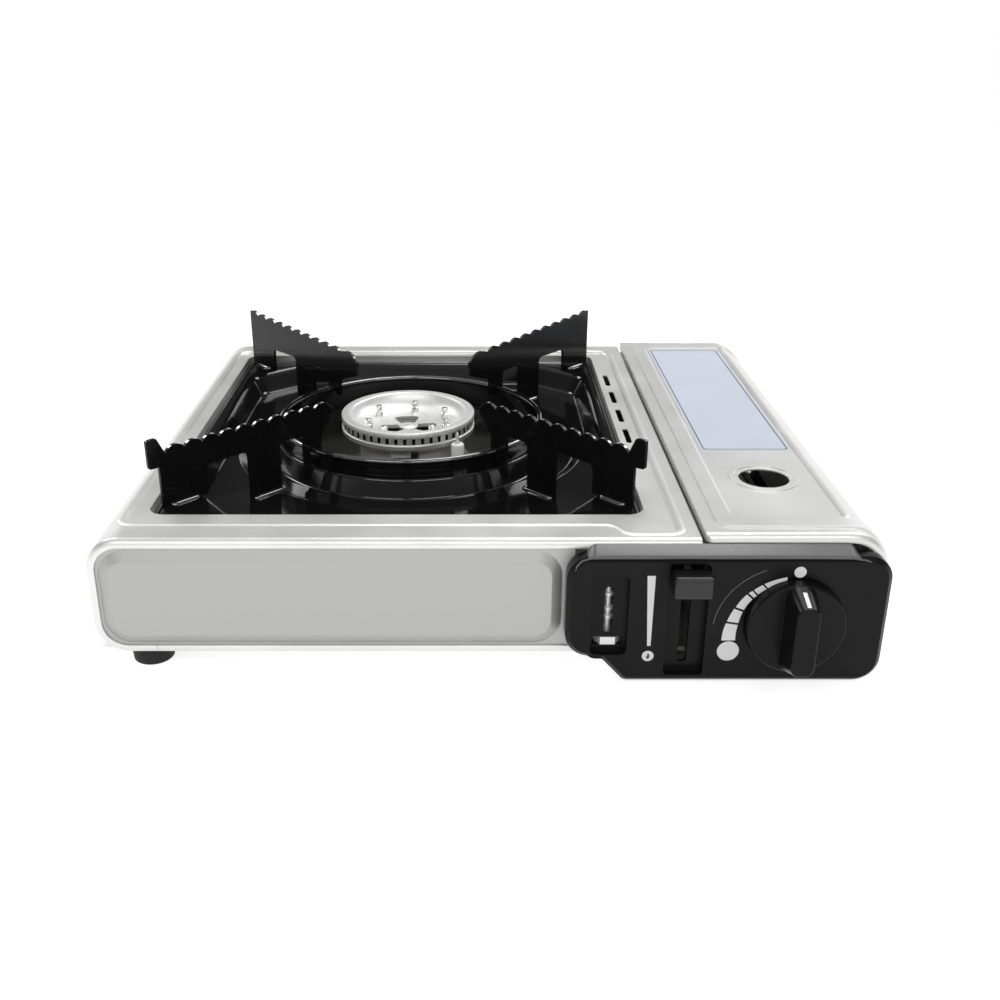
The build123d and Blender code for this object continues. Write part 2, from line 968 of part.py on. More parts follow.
def make_support_blade(side_x, side_y):
    front = side_y < 0
    inner = ring_radius - (front_overhang if front else rear_overhang)
    top_inner = front_top_inner if front else rear_top_inner
    top_outer = front_top_outer if front else rear_top_outer
    first = blade_reach - (front_first_notch if front else rear_first_notch)
    last = first - tooth_count * tooth_pitch
    rise = (top_outer - top_inner) / (blade_reach - inner)
    shape = blade_body(inner, front_nose_low if front else rear_nose_low, top_inner, top_outer)
    for tooth in range(tooth_count):
        start = first - (tooth + 1) * tooth_pitch
        height = top_inner + rise * (start + tooth_pitch / 2 - inner)
        shape += blade_tooth(start, start + tooth_pitch, height)
    shape += blade_tooth(inner + nose_slope, last, top_inner + rise * (last - inner) / 2)
    if front:
        shape += blade_ear()
    else:
        tooth = blade_tooth(first, first + tooth_pitch, top_outer)
        shape += tooth & Pos((first + blade_reach) / 2, top_outer) * Rectangle(blade_reach - first, 4 * tooth_depth)
    frame = blade_frame(side_x, side_y)
    return extrude(frame * shape, amount=blade_thickness / 2, both=True)


# Burner

def make_burner_cap():
    crest = deck_height + crest_rise
    lip = deck_height - lip_drop
    slot_top = deck_height - slot_top_drop
    slot_low = slot_top - slot_height
    bottom = deck_height - cap_flange_bottom
    dish_floor = crest - dish_drop
    dish_wall_foot = dish_floor + dish_wall_rise
    groove = cap_radius - groove_depth
    chamber = cup_radius - cup_wall
    cap = turned(
        [
            (0, dish_floor),
            (window_outer, dish_floor),
            (dish_wall_radius, dish_wall_foot),
            (crest_inner_radius - groove_depth, crest - groove_depth),
            (crest_inner_radius, crest),
            (crest_radius, crest),
            (cap_radius, crest - groove_depth),
            (cap_radius, lip),
            (groove, lip - groove_depth / 2),
            (groove, bottom + flange_rise),
            (cap_radius, bottom + flange_rise - groove_depth / 2),
            (cap_radius, bottom),
            (chamber, bottom),
            (chamber, slot_top - cap_wall),
            (dish_wall_radius, dish_wall_foot - cap_wall),
            (window_outer, dish_floor - cap_wall),
            (0, dish_floor - cap_wall),
        ],
        burner_x,
        burner_y,
    )
    window = outline(
        (window_inner, -window_inner_width / 2),
        (window_outer, -window_outer_width / 2),
        (window_outer, window_outer_width / 2),
        (window_inner, window_inner_width / 2),
    )
    window &= Circle(window_outer)
    for angle in window_angles:
        place = Pos(burner_x, burner_y) * Rot(0, 0, angle)
        cap -= slab(place * window, dish_floor - cap_wall - 1, crest)
    slot = Pos(cap_radius - slot_depth / 2, 0, (slot_top + slot_low) / 2) * Box(
        slot_depth, slot_width, slot_height
    )
    for notch in range(slot_count):
        cap -= Pos(burner_x, burner_y, 0) * Rot(0, 0, notch * 360 / slot_count) * slot
    for seat in jet_positions():
        cap -= upright(seat[0], seat[1], dish_floor - cap_wall - 2, crest + 1, jet_radius)
    return cap


def jet_positions():
    """Plan centres of the nozzles."""
    spots = []
    for angle in jet_angles:
        turn = radians(angle)
        spots.append((burner_x + jet_circle_radius * cos(turn), burner_y + jet_circle_radius * sin(turn)))
    return spots


def make_burner_jets():
    crest = deck_height + crest_rise
    low = crest - dish_drop - cap_wall
    high = low + jet_height + cap_wall
    jets = []
    for x, y in jet_positions():
        jet = upright(x, y, low, high, jet_radius) - upright(x, y, low - 1, high + 1, jet_bore)
        jets.append(jet)
    return Compound(children=jets)


def cup_mouth():
    """Plan position where the mixing tube enters the ring-shaped cup, on the tube's side."""
    reach = (throat_radius + cup_radius) / 2
    turn = atan2(tube_y - burner_y, tube_bend_x - burner_x)
    return burner_x + reach * cos(turn), burner_y + reach * sin(turn)


def make_burner_cup():
    """Ring-shaped gas chamber, open in the middle for the air that rises through the cap."""
    top = deck_height - cap_flange_bottom
    rim_top = deck_height - slot_top_drop - slot_height - 1
    throat_top = deck_height + crest_rise - dish_drop - cap_wall - seat_gap
    inner = cup_radius - cup_wall
    throat_outer = throat_radius + cup_wall
    cup = turned(
        [
            (throat_radius, cup_bottom),
            (cup_radius - cup_bevel, cup_bottom),
            (cup_radius, cup_bottom + cup_bevel),
            (cup_radius, top),
            (inner, top),
            (inner, cup_bottom + cup_bevel + cup_wall / 2),
            (cup_radius - cup_bevel - cup_wall / 2, cup_bottom + cup_wall),
            (throat_outer, cup_bottom + cup_wall),
            (throat_outer, throat_top),
            (throat_radius, throat_top),
        ],
        burner_x,
        burner_y,
    )
    cup += turned(
        [
            (inner - cup_wall, top - 4),
            (inner, top - 4),
            (inner, top),
            (inner - seat_gap, top),
            (inner - seat_gap, rim_top),
            (inner - cup_wall, rim_top),
        ],
        burner_x,
        burner_y,
    )
    x, y = cup_mouth()
    bore = tube_radius + seat_gap
    cup += upright(x, y, cup_bottom - cup_neck_length, cup_bottom + cup_wall, bore + cup_neck_wall)
    return cup - upright(x, y, cup_bottom - cup_neck_length - 1, cup_bottom + cup_wall + 1, bore)


def tube_path():
    """Centre line of the mixing tube, from the jet to the cup."""
    mouth_x, mouth_y = cup_mouth()
    return FilletPolyline(
        (tube_start_x, tube_y, tube_height),
        (tube_bend_x, tube_y, tube_height),
        (mouth_x, mouth_y, tube_height),
        (mouth_x, mouth_y, cup_bottom),
        radius=[tube_bend_radius, tube_rise_radius],
    )


def pipe(path, radius):
    start = Plane(origin=path @ 0, z_dir=path % 0)
    return sweep(start * Circle(radius), path=path)


def flare(inset, overrun):
    """Trumpet at the tube's open end, where it draws in air round the jet."""
    root = tube_radius - inset
    length = tube_flare_length + overrun
    cone = Cone(root, root + tube_flare, length)
    return Pos(tube_start_x - tube_flare_length / 2, tube_y, tube_height) * Rot(0, 90, 0) * cone


def make_mixing_tube():
    path = tube_path()
    tube = pipe(path, tube_radius) + flare(0, 0)
    return tube - pipe(path, tube_radius - tube_wall) - flare(tube_wall, seat_gap)


def make_burner_stand():
    foot_z = underside_height + sheet + sheet
    top_z = cup_bottom - stand_sheet
    section = outline(
        (-stand_half_span - stand_foot, foot_z),
        (-stand_half_span, foot_z),
        (-cup_radius + 4, top_z),
        (cup_radius - 4, top_z),
        (stand_half_span, foot_z),
        (stand_half_span + stand_foot, foot_z),
        (stand_half_span + stand_foot, foot_z + stand_sheet),
        (stand_half_span + 1, foot_z + stand_sheet),
        (cup_radius - 3.4, top_z + stand_sheet),
        (-cup_radius + 3.4, top_z + stand_sheet),
        (-stand_half_span - 1, foot_z + stand_sheet),
        (-stand_half_span - stand_foot, foot_z + stand_sheet),
    )
    stand = Pos(burner_x, 0, 0) * prism(section, burner_y - stand_width / 2, burner_y + stand_width / 2)
    stand -= upright(burner_x, burner_y, foot_z, cup_bottom, stand_hole_radius)
    mouth_x, mouth_y = cup_mouth()
    return stand - upright(mouth_x, mouth_y, foot_z, cup_bottom, tube_radius + cup_neck_wall + 2 * hook_gap)


def make_heat_plate():
    low = underside_height + sheet
    return turned(
        [
            (0, low),
            (heat_plate_radius - 2, low),
            (heat_plate_radius, low + heat_plate_rim),
            (heat_plate_radius - sheet, low + heat_plate_rim),
            (heat_plate_radius - 2 - sheet, low + sheet),
            (0, low + sheet),
        ],
        burner_x,
        burner_y,
    )


def make_electrode_ceramic():
    x = burner_x + electrode_x
    y = burner_y + electrode_y
    body = upright(x, y, ceramic_top - ceramic_length, ceramic_top, ceramic_radius)
    body = chamfer(body.edges().group_by(Axis.Z)[-1], 0.6)
    return body - upright(x, y, 0, deck_height + 9, pin_radius)


def make_electrode_pin():
    x = burner_x + electrode_x
    y = burner_y + electrode_y
    low = ceramic_top - ceramic_length - 3
    pin = upright(x, y, low, deck_height + pin_rise - 2, pin_radius)
    return pin + Pos(x, y, deck_height + pin_rise - 1) * Cone(pin_radius, pin_radius / 3, 2)


def make_electrode_bracket():
    x = burner_x + electrode_x
    y = burner_y + electrode_y
    low = ceramic_top - ceramic_length / 2 - 3
    clip = Pos(x, y) * (Circle(ceramic_radius + 1.4) - Circle(ceramic_radius))
    bracket = slab(clip, low, low + 6)
    angle = degrees(atan2(electrode_y, electrode_x))
    distance = hypot(electrode_x, electrode_y)
    arm_start = cup_radius
    arm_end = distance - ceramic_radius - 0.7
    arm = Pos((arm_start + arm_end) / 2, 0) * Rectangle(arm_end - arm_start, 5)
    bracket += slab(Pos(burner_x, burner_y) * Rot(0, 0, angle) * arm, low, low + 1.2)
    band = Circle(cup_radius + 1) - Circle(cup_radius)
    far = cup_radius * 2
    wedge = Polygon((0, 0), (0, -far), (far, -far), align=None)
    band &= wedge + Pos(0, -far / 2) * Rectangle(bracket_width, far)
    bracket += slab(Pos(burner_x, burner_y) * band, low, low + 1.2)
    tab = Pos(0, -cup_radius - 0.9) * Rectangle(bracket_width, 1.8) & (Circle(far) - Circle(cup_radius))
    bracket += slab(Pos(burner_x, burner_y) * tab, low, deck_height - cap_flange_bottom - tab_drop)
    return bracket


# Control panel, knob and lever

def panel_outline(inset):
    """Front view of the control moulding, with the S step at its lower left."""
    step_x = panel_step_x + inset
    low = panel_bottom + inset
    high = panel_top - inset
    left = panel_left + inset
    right = panel_right - inset
    shape = outline(
        (left, panel_step_height + inset),
        (step_x, panel_step_height + inset),
        (step_x + panel_step_run, low),
        (right, low),
        (right, high),
        (left, high),
    )
    corners = shape.vertices().filter_by(lambda v: v.X > right - 1 or v.X < left + 1)
    shape = fillet(corners, panel_corner - inset)
    steps = shape.vertices().filter_by(
        lambda v: step_x - 1 < v.X < step_x + panel_step_run + 1 and v.Y < panel_step_height + inset + 1
    )
    return fillet(steps, panel_edge * 2)


def make_control_panel():
    back = y_front - seat_gap
    body = prism(panel_outline(0), panel_face, back)
    body = chamfer(body.faces().sort_by(Axis.Y)[0].edges(), panel_edge)
    body -= prism(panel_outline(panel_wall), panel_face + panel_wall, back + 1)
    pocket_half = pocket_width / 2
    pocket = rounded(pocket_x - pocket_half, pocket_x + pocket_half, pocket_low, pocket_high, 3)
    body += prism(offset(pocket, panel_wall), panel_face + 1, panel_face + pocket_depth + panel_wall)
    body -= prism(pocket, panel_face - 1, panel_face + pocket_depth)
    window_half = window_width / 2
    window = rounded(pocket_x - window_half, pocket_x + window_half, window_low, window_high, window_half * 0.9)
    body -= prism(window, panel_face, back + 1)
    nut_half = nut_flats / 2 + 1
    nut_low = nut_z - nut_height / 2 - hook_gap
    nut_high = nut_z + nut_height / 2 + hook_gap
    body -= prism(rounded(pocket_x - nut_half, pocket_x + nut_half, nut_low, nut_high, 1), panel_face, back + 1)
    track_half = track_width / 2
    track = rounded(lever_x - track_half, lever_x + track_half, track_low, track_high, 2)
    body += prism(offset(track, panel_wall), panel_face + 1, track_floor + panel_wall)
    body -= prism(track, panel_face - 1, track_floor)
    slot_half = lever_slot_width / 2
    slot = rounded(lever_x - slot_half, lever_x + slot_half, slot_low, slot_high, slot_half * 0.9)
    body -= prism(slot, panel_face, back + 1)
    body -= along_y(knob_x, knob_z, panel_face - 1, panel_face + knob_recess, knob_radius + knob_clearance)
    body -= along_y(knob_x, knob_z, panel_face - 1, back + 1, spindle_radius + 2)
    return body


def make_knob():
    disc_face = knob_back - knob_disc
    disc = along_y(knob_x, knob_z, disc_face, knob_back, knob_radius)
    disc = fillet(disc.edges().group_by(Axis.Y)[0], 1.0)
    base = Pos(knob_x, knob_z) * RectangleRounded(grip_width, grip_base_height, 5)
    tip = Pos(knob_x, knob_z + 1) * RectangleRounded(grip_front_width, grip_front_height, 3.5)
    grip = loft([face_plane(disc_face + 0.5) * base, face_plane(knob_face) * tip])
    grip = fillet(grip.faces().sort_by(Axis.Y)[0].edges(), 0.9)
    knob = disc + grip
    return knob - along_y(knob_x, knob_z, knob_back - 8, knob_back + 1, spindle_radius)


def make_valve_spindle():
    end = knob_back + spindle_length
    shaft = along_y(knob_x, knob_z, knob_back - 8, end, spindle_radius)
    cam_y = knob_back + 14
    cam = Pos(knob_x, knob_z) * (Circle(cam_radius - 2) + Pos(3, 0) * Circle(cam_radius - 3))
    return shaft + prism(cam, cam_y, cam_y + cam_width)


def lever_tip():
    """Y and Z of the lever's front end, in its raised position."""
    turn = radians(lever_half_angle)
    return pivot_y - lever_reach * cos(turn), pivot_height + lever_reach * sin(turn)


def crank_place():
    """Y and Z of the crank finger, in the lever's raised position."""
    turn = radians(lever_half_angle)
    return pivot_y + crank_radius * sin(turn), pivot_height + crank_radius * cos(turn)


def lever_bar(y0, z0, y1, z1, width):
    """Flat bar with round ends in the lever's plane."""
    length = hypot(y1 - y0, z1 - z0)
    angle = degrees(atan2(z1 - z0, y1 - y0))
    bar = Pos((y0 + y1) / 2, (z0 + z1) / 2) * Rot(0, 0, angle) * SlotOverall(length + width, width)
    side = Plane(origin=(lever_x - lever_sheet / 2, 0, 0), x_dir=(0, 1, 0), z_dir=(1, 0, 0))
    return extrude(side * bar, amount=lever_sheet)


def make_lever_arm():
    tip_y, tip_z = lever_tip()
    crank_y, crank_z = crank_place()
    arm = lever_bar(pivot_y, pivot_height, tip_y, tip_z, arm_width)
    arm += lever_bar(pivot_y, pivot_height, crank_y, crank_z, arm_width)
    finger_end = partition_x - yoke_gap
    arm += along_x(crank_y, crank_z, lever_x, finger_end, crank_pin_radius)
    bore = pivot_radius + pivot_running
    return arm - along_x(pivot_y, pivot_height, lever_x - 3, lever_x + 3, bore)


def make_lever_pivot():
    pin = along_x(pivot_y, pivot_height, lever_x - 2.5, partition_x, pivot_radius)
    head = along_x(pivot_y, pivot_height, lever_x - 3.5, lever_x - 1.2, pivot_radius + 1.5)
    washer = along_x(pivot_y, pivot_height, lever_x + 1.2, partition_x, pivot_radius + 1)
    return pin + head + washer


def make_lever_cap():
    tip_y, tip_z = lever_tip()
    back = tip_y
    body = block(
        lever_x - cap_width / 2,
        lever_x + cap_width / 2,
        back - cap_length,
        back,
        tip_z - cap_height / 2,
        tip_z + cap_height / 2,
    )
    body = fillet(body.edges().filter_by(Axis.X), 1.8)
    body = fillet(body.faces().sort_by(Axis.Y)[0].edges().filter_by(Axis.Z), 1.0)
    socket = lever_bar(pivot_y, pivot_height, tip_y, tip_z, arm_width)
    return body - socket


def make_cartridge_yoke():
    crank_y, crank_z = crank_place()
    plate_y = seat_y + yoke_from_seat
    left = lever_x + lever_sheet / 2 + yoke_gap
    right = cartridge_axis_x + yoke_neck_radius + 6
    low = bay_floor + yoke_gap
    bay_left = partition_x + sheet + yoke_gap * 2
    plate = block(bay_left, right, plate_y, plate_y + yoke_sheet, low, low + yoke_height)
    arm_low = crank_z - 3.5
    arm_high = crank_z + 3.5
    plate += block(left, bay_left + 1, plate_y, plate_y + yoke_sheet, arm_low, arm_high)
    flag_near = crank_y - 4
    flag = block(left, left + yoke_sheet, flag_near, plate_y + yoke_sheet, arm_low, arm_high)
    slot_half = crank_pin_radius + yoke_gap
    flag -= block(left - 1, left + 3, crank_y - slot_half, crank_y + slot_half, crank_z - 2.2, crank_z + 2.6)
    plate += flag
    neck = Circle(yoke_neck_radius) + Pos(0, yoke_height / 2) * Rectangle(2 * yoke_neck_radius, yoke_height)
    neck = Pos(cartridge_axis_x, cartridge_axis_z) * neck
    return plate - prism(neck, plate_y - 1, plate_y + yoke_sheet + 1)


# Regulator, seat and igniter

def make_cartridge_seat():
    left = cartridge_axis_x - seat_width / 2
    right = cartridge_axis_x + seat_width / 2
    plate = block(left, right, seat_y - seat_sheet, seat_y, bay_floor, bay_floor + seat_height)
    plate += block(left, right, seat_y - seat_foot, seat_y, bay_floor, bay_floor + seat_sheet)
    plate -= along_y(cartridge_axis_x, cartridge_axis_z, seat_y - 2 * seat_sheet, seat_y + seat_sheet, inlet_radius)
    tab_z = cartridge_axis_z + yoke_neck_radius - locating_tab_reach
    plate += block(
        cartridge_axis_x - locating_tab_width / 2,
        cartridge_axis_x + locating_tab_width / 2,
        seat_y - seat_sheet,
        seat_y + locating_tab_reach,
        tab_z,
        tab_z + locating_tab_height,
    )
    return plate


def regulator_back():
    return seat_y - seat_sheet


def make_regulator_body():
    back = regulator_back()
    front = back - regulator_length
    body = along_y(cartridge_axis_x, cartridge_axis_z, front, back, regulator_radius)
    body = fillet(body.edges().group_by(Axis.Y)[0], 2)
    body += along_x(tube_y, tube_height, cartridge_axis_x - regulator_radius - outlet_length, cartridge_axis_x, outlet_radius)
    body -= along_y(knob_x, knob_z, front - 10, front + 10, spindle_radius + spindle_running)
    body -= along_x(tube_y, tube_height, cartridge_axis_x - regulator_radius - 2 * outlet_length, cartridge_axis_x - regulator_radius * 2 / 3, jet_thread_radius)
    body -= along_y(cartridge_axis_x, cartridge_axis_z, back - 4, back + 1, inlet_radius)
    return body


def make_regulator_cover():
    front = regulator_back() - regulator_length
    cover = along_y(cartridge_axis_x, cartridge_axis_z, front - regulator_cover_length, front, regulator_cover_radius)
    cover = fillet(cover.edges().group_by(Axis.Y)[0], 1.5)
    return cover - along_y(knob_x, knob_z, front - 20, front + 1, spindle_radius + 1)


def make_regulator_bracket():
    back = regulator_back() - (regulator_length - bracket_plate_depth) / 2
    front = back - bracket_plate_depth
    low = bay_floor + seat_sheet
    shape = Pos(cartridge_axis_x, (low + cartridge_axis_z) / 2) * Rectangle(bracket_plate_width, cartridge_axis_z - low)
    shape -= Pos(cartridge_axis_x, cartridge_axis_z) * Circle(regulator_radius)
    bracket = prism(shape, front, back)
    return bracket - along_x(tube_y, tube_height, partition_x, cartridge_axis_x, outlet_radius + seat_gap)


def make_gas_inlet():
    start = regulator_back() - 4
    end = seat_y + inlet_length
    inlet = along_y(cartridge_axis_x, cartridge_axis_z, start, seat_y + 1, inlet_radius)
    inlet += along_y(cartridge_axis_x, cartridge_axis_z, seat_y + 1, end, inlet_radius - 1.5)
    return inlet - along_y(cartridge_axis_x, cartridge_axis_z, start - 1, end + 1, inlet_bore)


def make_inlet_seal():
    start = seat_y + 1
    ring = along_y(cartridge_axis_x, cartridge_axis_z, start, start + seal_length, seal_radius)
    return ring - along_y(cartridge_axis_x, cartridge_axis_z, start - 1, start + seal_length + 1, inlet_radius - 1.5)


def make_gas_jet():
    y = tube_y
    right = cartridge_axis_x - regulator_radius * 2 / 3
    shoulder = cartridge_axis_x - regulator_radius - outlet_length
    tip = tube_start_x + 3
    jet = along_x(y, tube_height, shoulder, right, jet_thread_radius)
    jet += along_x(y, tube_height, tip + 6, shoulder, brass_jet_radius)
    jet += along_x(y, tube_height, tip, tip + 6, brass_jet_radius - 1.5)
    return jet - along_x(y, tube_height, tip - 1, tip + 12, inlet_bore / 2)


def make_piezo_igniter():
    half = piezo_size / 2
    low = knob_z - piezo_length / 2
    body = block(piezo_x - half, piezo_x + half, piezo_y, piezo_y + piezo_size, low, low + piezo_length)
    body = fillet(body.edges().filter_by(Axis.Z), 1.5)
    return body + upright(piezo_x, piezo_y + half, low - piezo_tail, low, piezo_tail_radius)


def make_ignition_lead():
    """Lead from the igniter, under the mixing tube and over the heat plate's rim, to the electrode."""
    terminal_y = piezo_y + piezo_size / 2
    terminal_z = knob_z - piezo_length / 2 - piezo_tail
    electrode_foot = ceramic_top - ceramic_length - 3
    pin_x = burner_x + electrode_x
    pin_y = burner_y + electrode_y
    route = [
        (piezo_x, terminal_y, terminal_z),
        (piezo_x, terminal_y, lead_low),
        (partition_x + 9.8, lead_y, lead_low),
        (partition_x - 10.2, lead_y, lead_low),
        (bay_step_x + 5, lead_y, lead_height),
        (tube_bend_x + 36, tube_y - 23.5, lead_height),
        (tube_bend_x + 18, tube_y - 0.5, lead_height),
        (tube_bend_x + 4, tube_y + 32.5, lead_height),
        (burner_x + 41, burner_y - 65, 18),
        (pin_x + 3.7, pin_y - 11, 20),
        (pin_x, pin_y, 21.5),
        (pin_x, pin_y, electrode_foot),
    ]
    path = FilletPolyline(*route, radius=[4, 6, 10, 10, 20, 20, 20, 15, 10, 3])
    return pipe(path, lead_radius)


# Small parts

def make_feet():
    feet = []
    left_x = x_left + foot_from_side
    right_x = x_right - pad_from_side
    for y in (y_front + foot_from_end, y_back - foot_from_end):
        foot = Pos(left_x, y, underside_height / 2) * Cone(foot_radius - foot_taper, foot_radius, underside_height)
        feet.append(fillet(foot.edges().group_by(Axis.Z)[0], 1.0))
        feet.append(upright(right_x, y, 0, bay_floor_height, pad_radius))
    return Compound(children=feet)


def make_lock_rod():
    y = y_front + rod_from_front
    low = underside_height + rim_width
    rod = upright(pocket_x, y, low, window_high + 6, rod_radius)
    for z in (window_low + 6, window_low + 10, window_high - 6):
        rod += upright(pocket_x, y, z, z + 1.6, rod_radius + rod_collar)
    return rod


def make_lock_nut():
    y = y_front + rod_from_front
    nut = Pos(pocket_x, y) * RegularPolygon(nut_flats / 2, 6, major_radius=False)
    nut = slab(nut, nut_z - nut_height / 2, nut_z + nut_height / 2)
    return nut - upright(pocket_x, y, 0, deck_height, rod_radius)


def make_panel_screws():
    screws = []
    for x, z in screw_places():
        head = along_y(x, z, bay_wall_y, bay_wall_y + screw_head_height, screw_head_radius)
        head = fillet(head.edges().group_by(Axis.Y)[-1], 0.8)
        screws.append(head + along_y(x, z, bay_wall_y - screw_length, bay_wall_y, screw_shank_radius))
    return Compound(children=screws)


def export_parts(parts):
    os.makedirs("parts", exist_ok=True)
    for name, shape in parts.items():
        export_step(shape, "parts/" + name + ".step")


def build_parts():
    parts = {
        "top_shell": make_top_shell(),
        "base_pan": make_base_pan(),
        "front_panel": make_front_panel(),
        "rear_panel": make_rear_panel(),
        "bay_partition": make_bay_partition(),
        "lid_panel": make_lid_panel(),
        "lid_label_plate": make_label_plate(),
        "hinge_brackets": make_hinge_brackets(),
        "hinge_pins": make_hinge_pins(),
        "lid_hinge_leaves": make_lid_hinge_leaves(),
        "drip_tray": make_drip_tray(),
        "support_ring": make_support_ring(),
        "burner_cap": make_burner_cap(),
        "burner_jets": make_burner_jets(),
        "burner_cup": make_burner_cup(),
        "mixing_tube": make_mixing_tube(),
        "burner_stand": make_burner_stand(),
        "heat_plate": make_heat_plate(),
        "electrode_ceramic": make_electrode_ceramic(),
        "electrode_pin": make_electrode_pin(),
        "electrode_bracket": make_electrode_bracket(),
        "control_panel": make_control_panel(),
        "knob": make_knob(),
        "valve_spindle": make_valve_spindle(),
        "lever_cap": make_lever_cap(),
        "lever_arm": make_lever_arm(),
        "lever_pivot": make_lever_pivot(),
        "cartridge_yoke": make_cartridge_yoke(),
        "cartridge_seat": make_cartridge_seat(),
        "regulator_body": make_regulator_body(),
        "regulator_cover": make_regulator_cover(),
        "regulator_bracket": make_regulator_bracket(),
        "gas_inlet": make_gas_inlet(),
        "inlet_seal": make_inlet_seal(),
        "gas_jet": make_gas_jet(),
        "piezo_igniter": make_piezo_igniter(),
        "ignition_lead": make_ignition_lead(),
        "lock_rod": make_lock_rod(),
        "lock_nut": make_lock_nut(),
        "panel_screws": make_panel_screws(),
        "feet": make_feet(),
    }
    for side_y, row in ((-1, "front"), (1, "rear")):
        for side_x, side in ((-1, "left"), (1, "right")):
            parts["support_blade_" + row + "_" + side] = make_support_blade(side_x, side_y)
    return parts


export_parts(build_parts())
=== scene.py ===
import bmesh
import bpy
import json
import math
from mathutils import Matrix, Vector


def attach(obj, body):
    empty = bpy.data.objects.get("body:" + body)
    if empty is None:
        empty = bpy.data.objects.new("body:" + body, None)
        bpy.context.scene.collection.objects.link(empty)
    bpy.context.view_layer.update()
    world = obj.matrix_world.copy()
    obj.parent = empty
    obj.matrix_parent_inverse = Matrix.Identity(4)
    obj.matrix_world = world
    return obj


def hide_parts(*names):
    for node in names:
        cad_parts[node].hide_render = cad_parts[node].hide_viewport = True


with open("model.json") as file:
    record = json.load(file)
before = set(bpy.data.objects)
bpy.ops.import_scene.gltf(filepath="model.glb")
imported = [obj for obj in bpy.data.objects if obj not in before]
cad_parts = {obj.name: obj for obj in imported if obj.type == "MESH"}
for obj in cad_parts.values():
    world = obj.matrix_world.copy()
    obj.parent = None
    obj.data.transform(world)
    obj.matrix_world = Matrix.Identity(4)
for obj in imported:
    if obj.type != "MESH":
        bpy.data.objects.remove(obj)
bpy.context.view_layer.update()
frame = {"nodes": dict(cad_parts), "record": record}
nodes = frame["nodes"]
mm = 0.001
print("frame loaded:", len(nodes), "pieces from the CAD")


# camera, with the principal point a little left of the middle
cameraSpec = {
    "place": (-0.0067, -0.5668, 0.2669),
    "pitch": 66.85,
    "lens": 40.37,
    "sensor": 36.0,
    "shiftX": 0.0274,
}


def setCamera(spec):
    data = bpy.data.cameras.new("mainCamera")
    data.lens = spec["lens"]
    data.sensor_width = spec["sensor"]
    data.shift_x = spec["shiftX"]
    data.clip_start = 0.01
    data.clip_end = 50.0
    camera = bpy.data.objects.new("mainCamera", data)
    camera.location = spec["place"]
    camera.rotation_euler = (math.radians(spec["pitch"]), 0.0, 0.0)
    bpy.context.scene.collection.objects.link(camera)
    bpy.context.scene.camera = camera


setCamera(cameraSpec)
bpy.context.scene.view_settings.view_transform = "Standard"
print("camera set")


# node helpers for the materials
def setInputs(node, values):
    for socket, value in values.items():
        node.inputs[socket].default_value = value


def newMaterial(name, inputs):
    material = bpy.data.materials.new(name)
    material.use_nodes = True
    tree = material.node_tree
    shader = tree.nodes["Principled BSDF"]
    setInputs(shader, inputs)
    return material, tree, shader


def addNode(tree, kind, inputs=None, **settings):
    node = tree.nodes.new(kind)
    for key, value in settings.items():
        setattr(node, key, value)
    setInputs(node, inputs or {})
    return node


def objectPoint(tree, stretch=(1.0, 1.0, 1.0), origin=(0.0, 0.0, 0.0)):
    coordinates = addNode(tree, "ShaderNodeTexCoord")
    shift = [-a * s for a, s in zip(origin, stretch)]
    mapping = addNode(tree, "ShaderNodeMapping", {"Scale": stretch, "Location": shift})
    tree.links.new(coordinates.outputs["Object"], mapping.inputs["Vector"])
    return mapping.outputs["Vector"]


def noiseField(tree, point, scale, detail=3.0, roughness=0.5):
    noise = addNode(tree, "ShaderNodeTexNoise", {"Scale": scale, "Detail": detail, "Roughness": roughness})
    tree.links.new(point, noise.inputs["Vector"])
    return noise.outputs["Fac"]


def remap(tree, field, low, high, fromLow=0.3, fromHigh=0.7):
    ends = {"From Min": fromLow, "From Max": fromHigh, "To Min": low, "To Max": high}
    node = addNode(tree, "ShaderNodeMapRange", ends)
    tree.links.new(field, node.inputs["Value"])
    return node.outputs["Result"]


def tint(tree, field, dark, light, fromLow=0.3, fromHigh=0.7):
    ramp = addNode(tree, "ShaderNodeValToRGB")
    ramp.color_ramp.elements[0].position = fromLow
    ramp.color_ramp.elements[0].color = (*dark, 1.0)
    ramp.color_ramp.elements[1].position = fromHigh
    ramp.color_ramp.elements[1].color = (*light, 1.0)
    tree.links.new(field, ramp.inputs["Fac"])
    return ramp.outputs["Color"]


def roundedNormal(tree, radius):
    return addNode(tree, "ShaderNodeBevel", {"Radius": radius}, samples=4).outputs["Normal"]


def bumpNormal(tree, field, height, strength=1.0, base=None):
    bump = addNode(tree, "ShaderNodeBump", {"Strength": strength, "Distance": height})
    tree.links.new(field, bump.inputs["Height"])
    if base is not None:
        tree.links.new(base, bump.inputs["Normal"])
    return bump.outputs["Normal"]


# colour and roughness both follow one field between the ends of the spec
def paint(tree, shader, field, normal, spec):
    tree.links.new(tint(tree, field, spec["dark"], spec["light"]), shader.inputs["Base Color"])
    tree.links.new(remap(tree, field, *spec["roughness"]), shader.inputs["Roughness"])
    tree.links.new(normal, shader.inputs["Normal"])


# sheet steel with a satin, slightly cloudy face
def satinSheet(name, spec):
    material, tree, shader = newMaterial(name, {"Metallic": spec["metallic"]})
    point = objectPoint(tree)
    cloud = noiseField(tree, point, spec["cloudScale"], 4.0, 0.55)
    grain = noiseField(tree, point, spec["grainScale"], 2.0, 0.6)
    edge = roundedNormal(tree, spec["edge"]) if spec["edge"] else None
    paint(tree, shader, cloud, bumpNormal(tree, grain, spec["grainHeight"], 1.0, edge), spec)
    return material


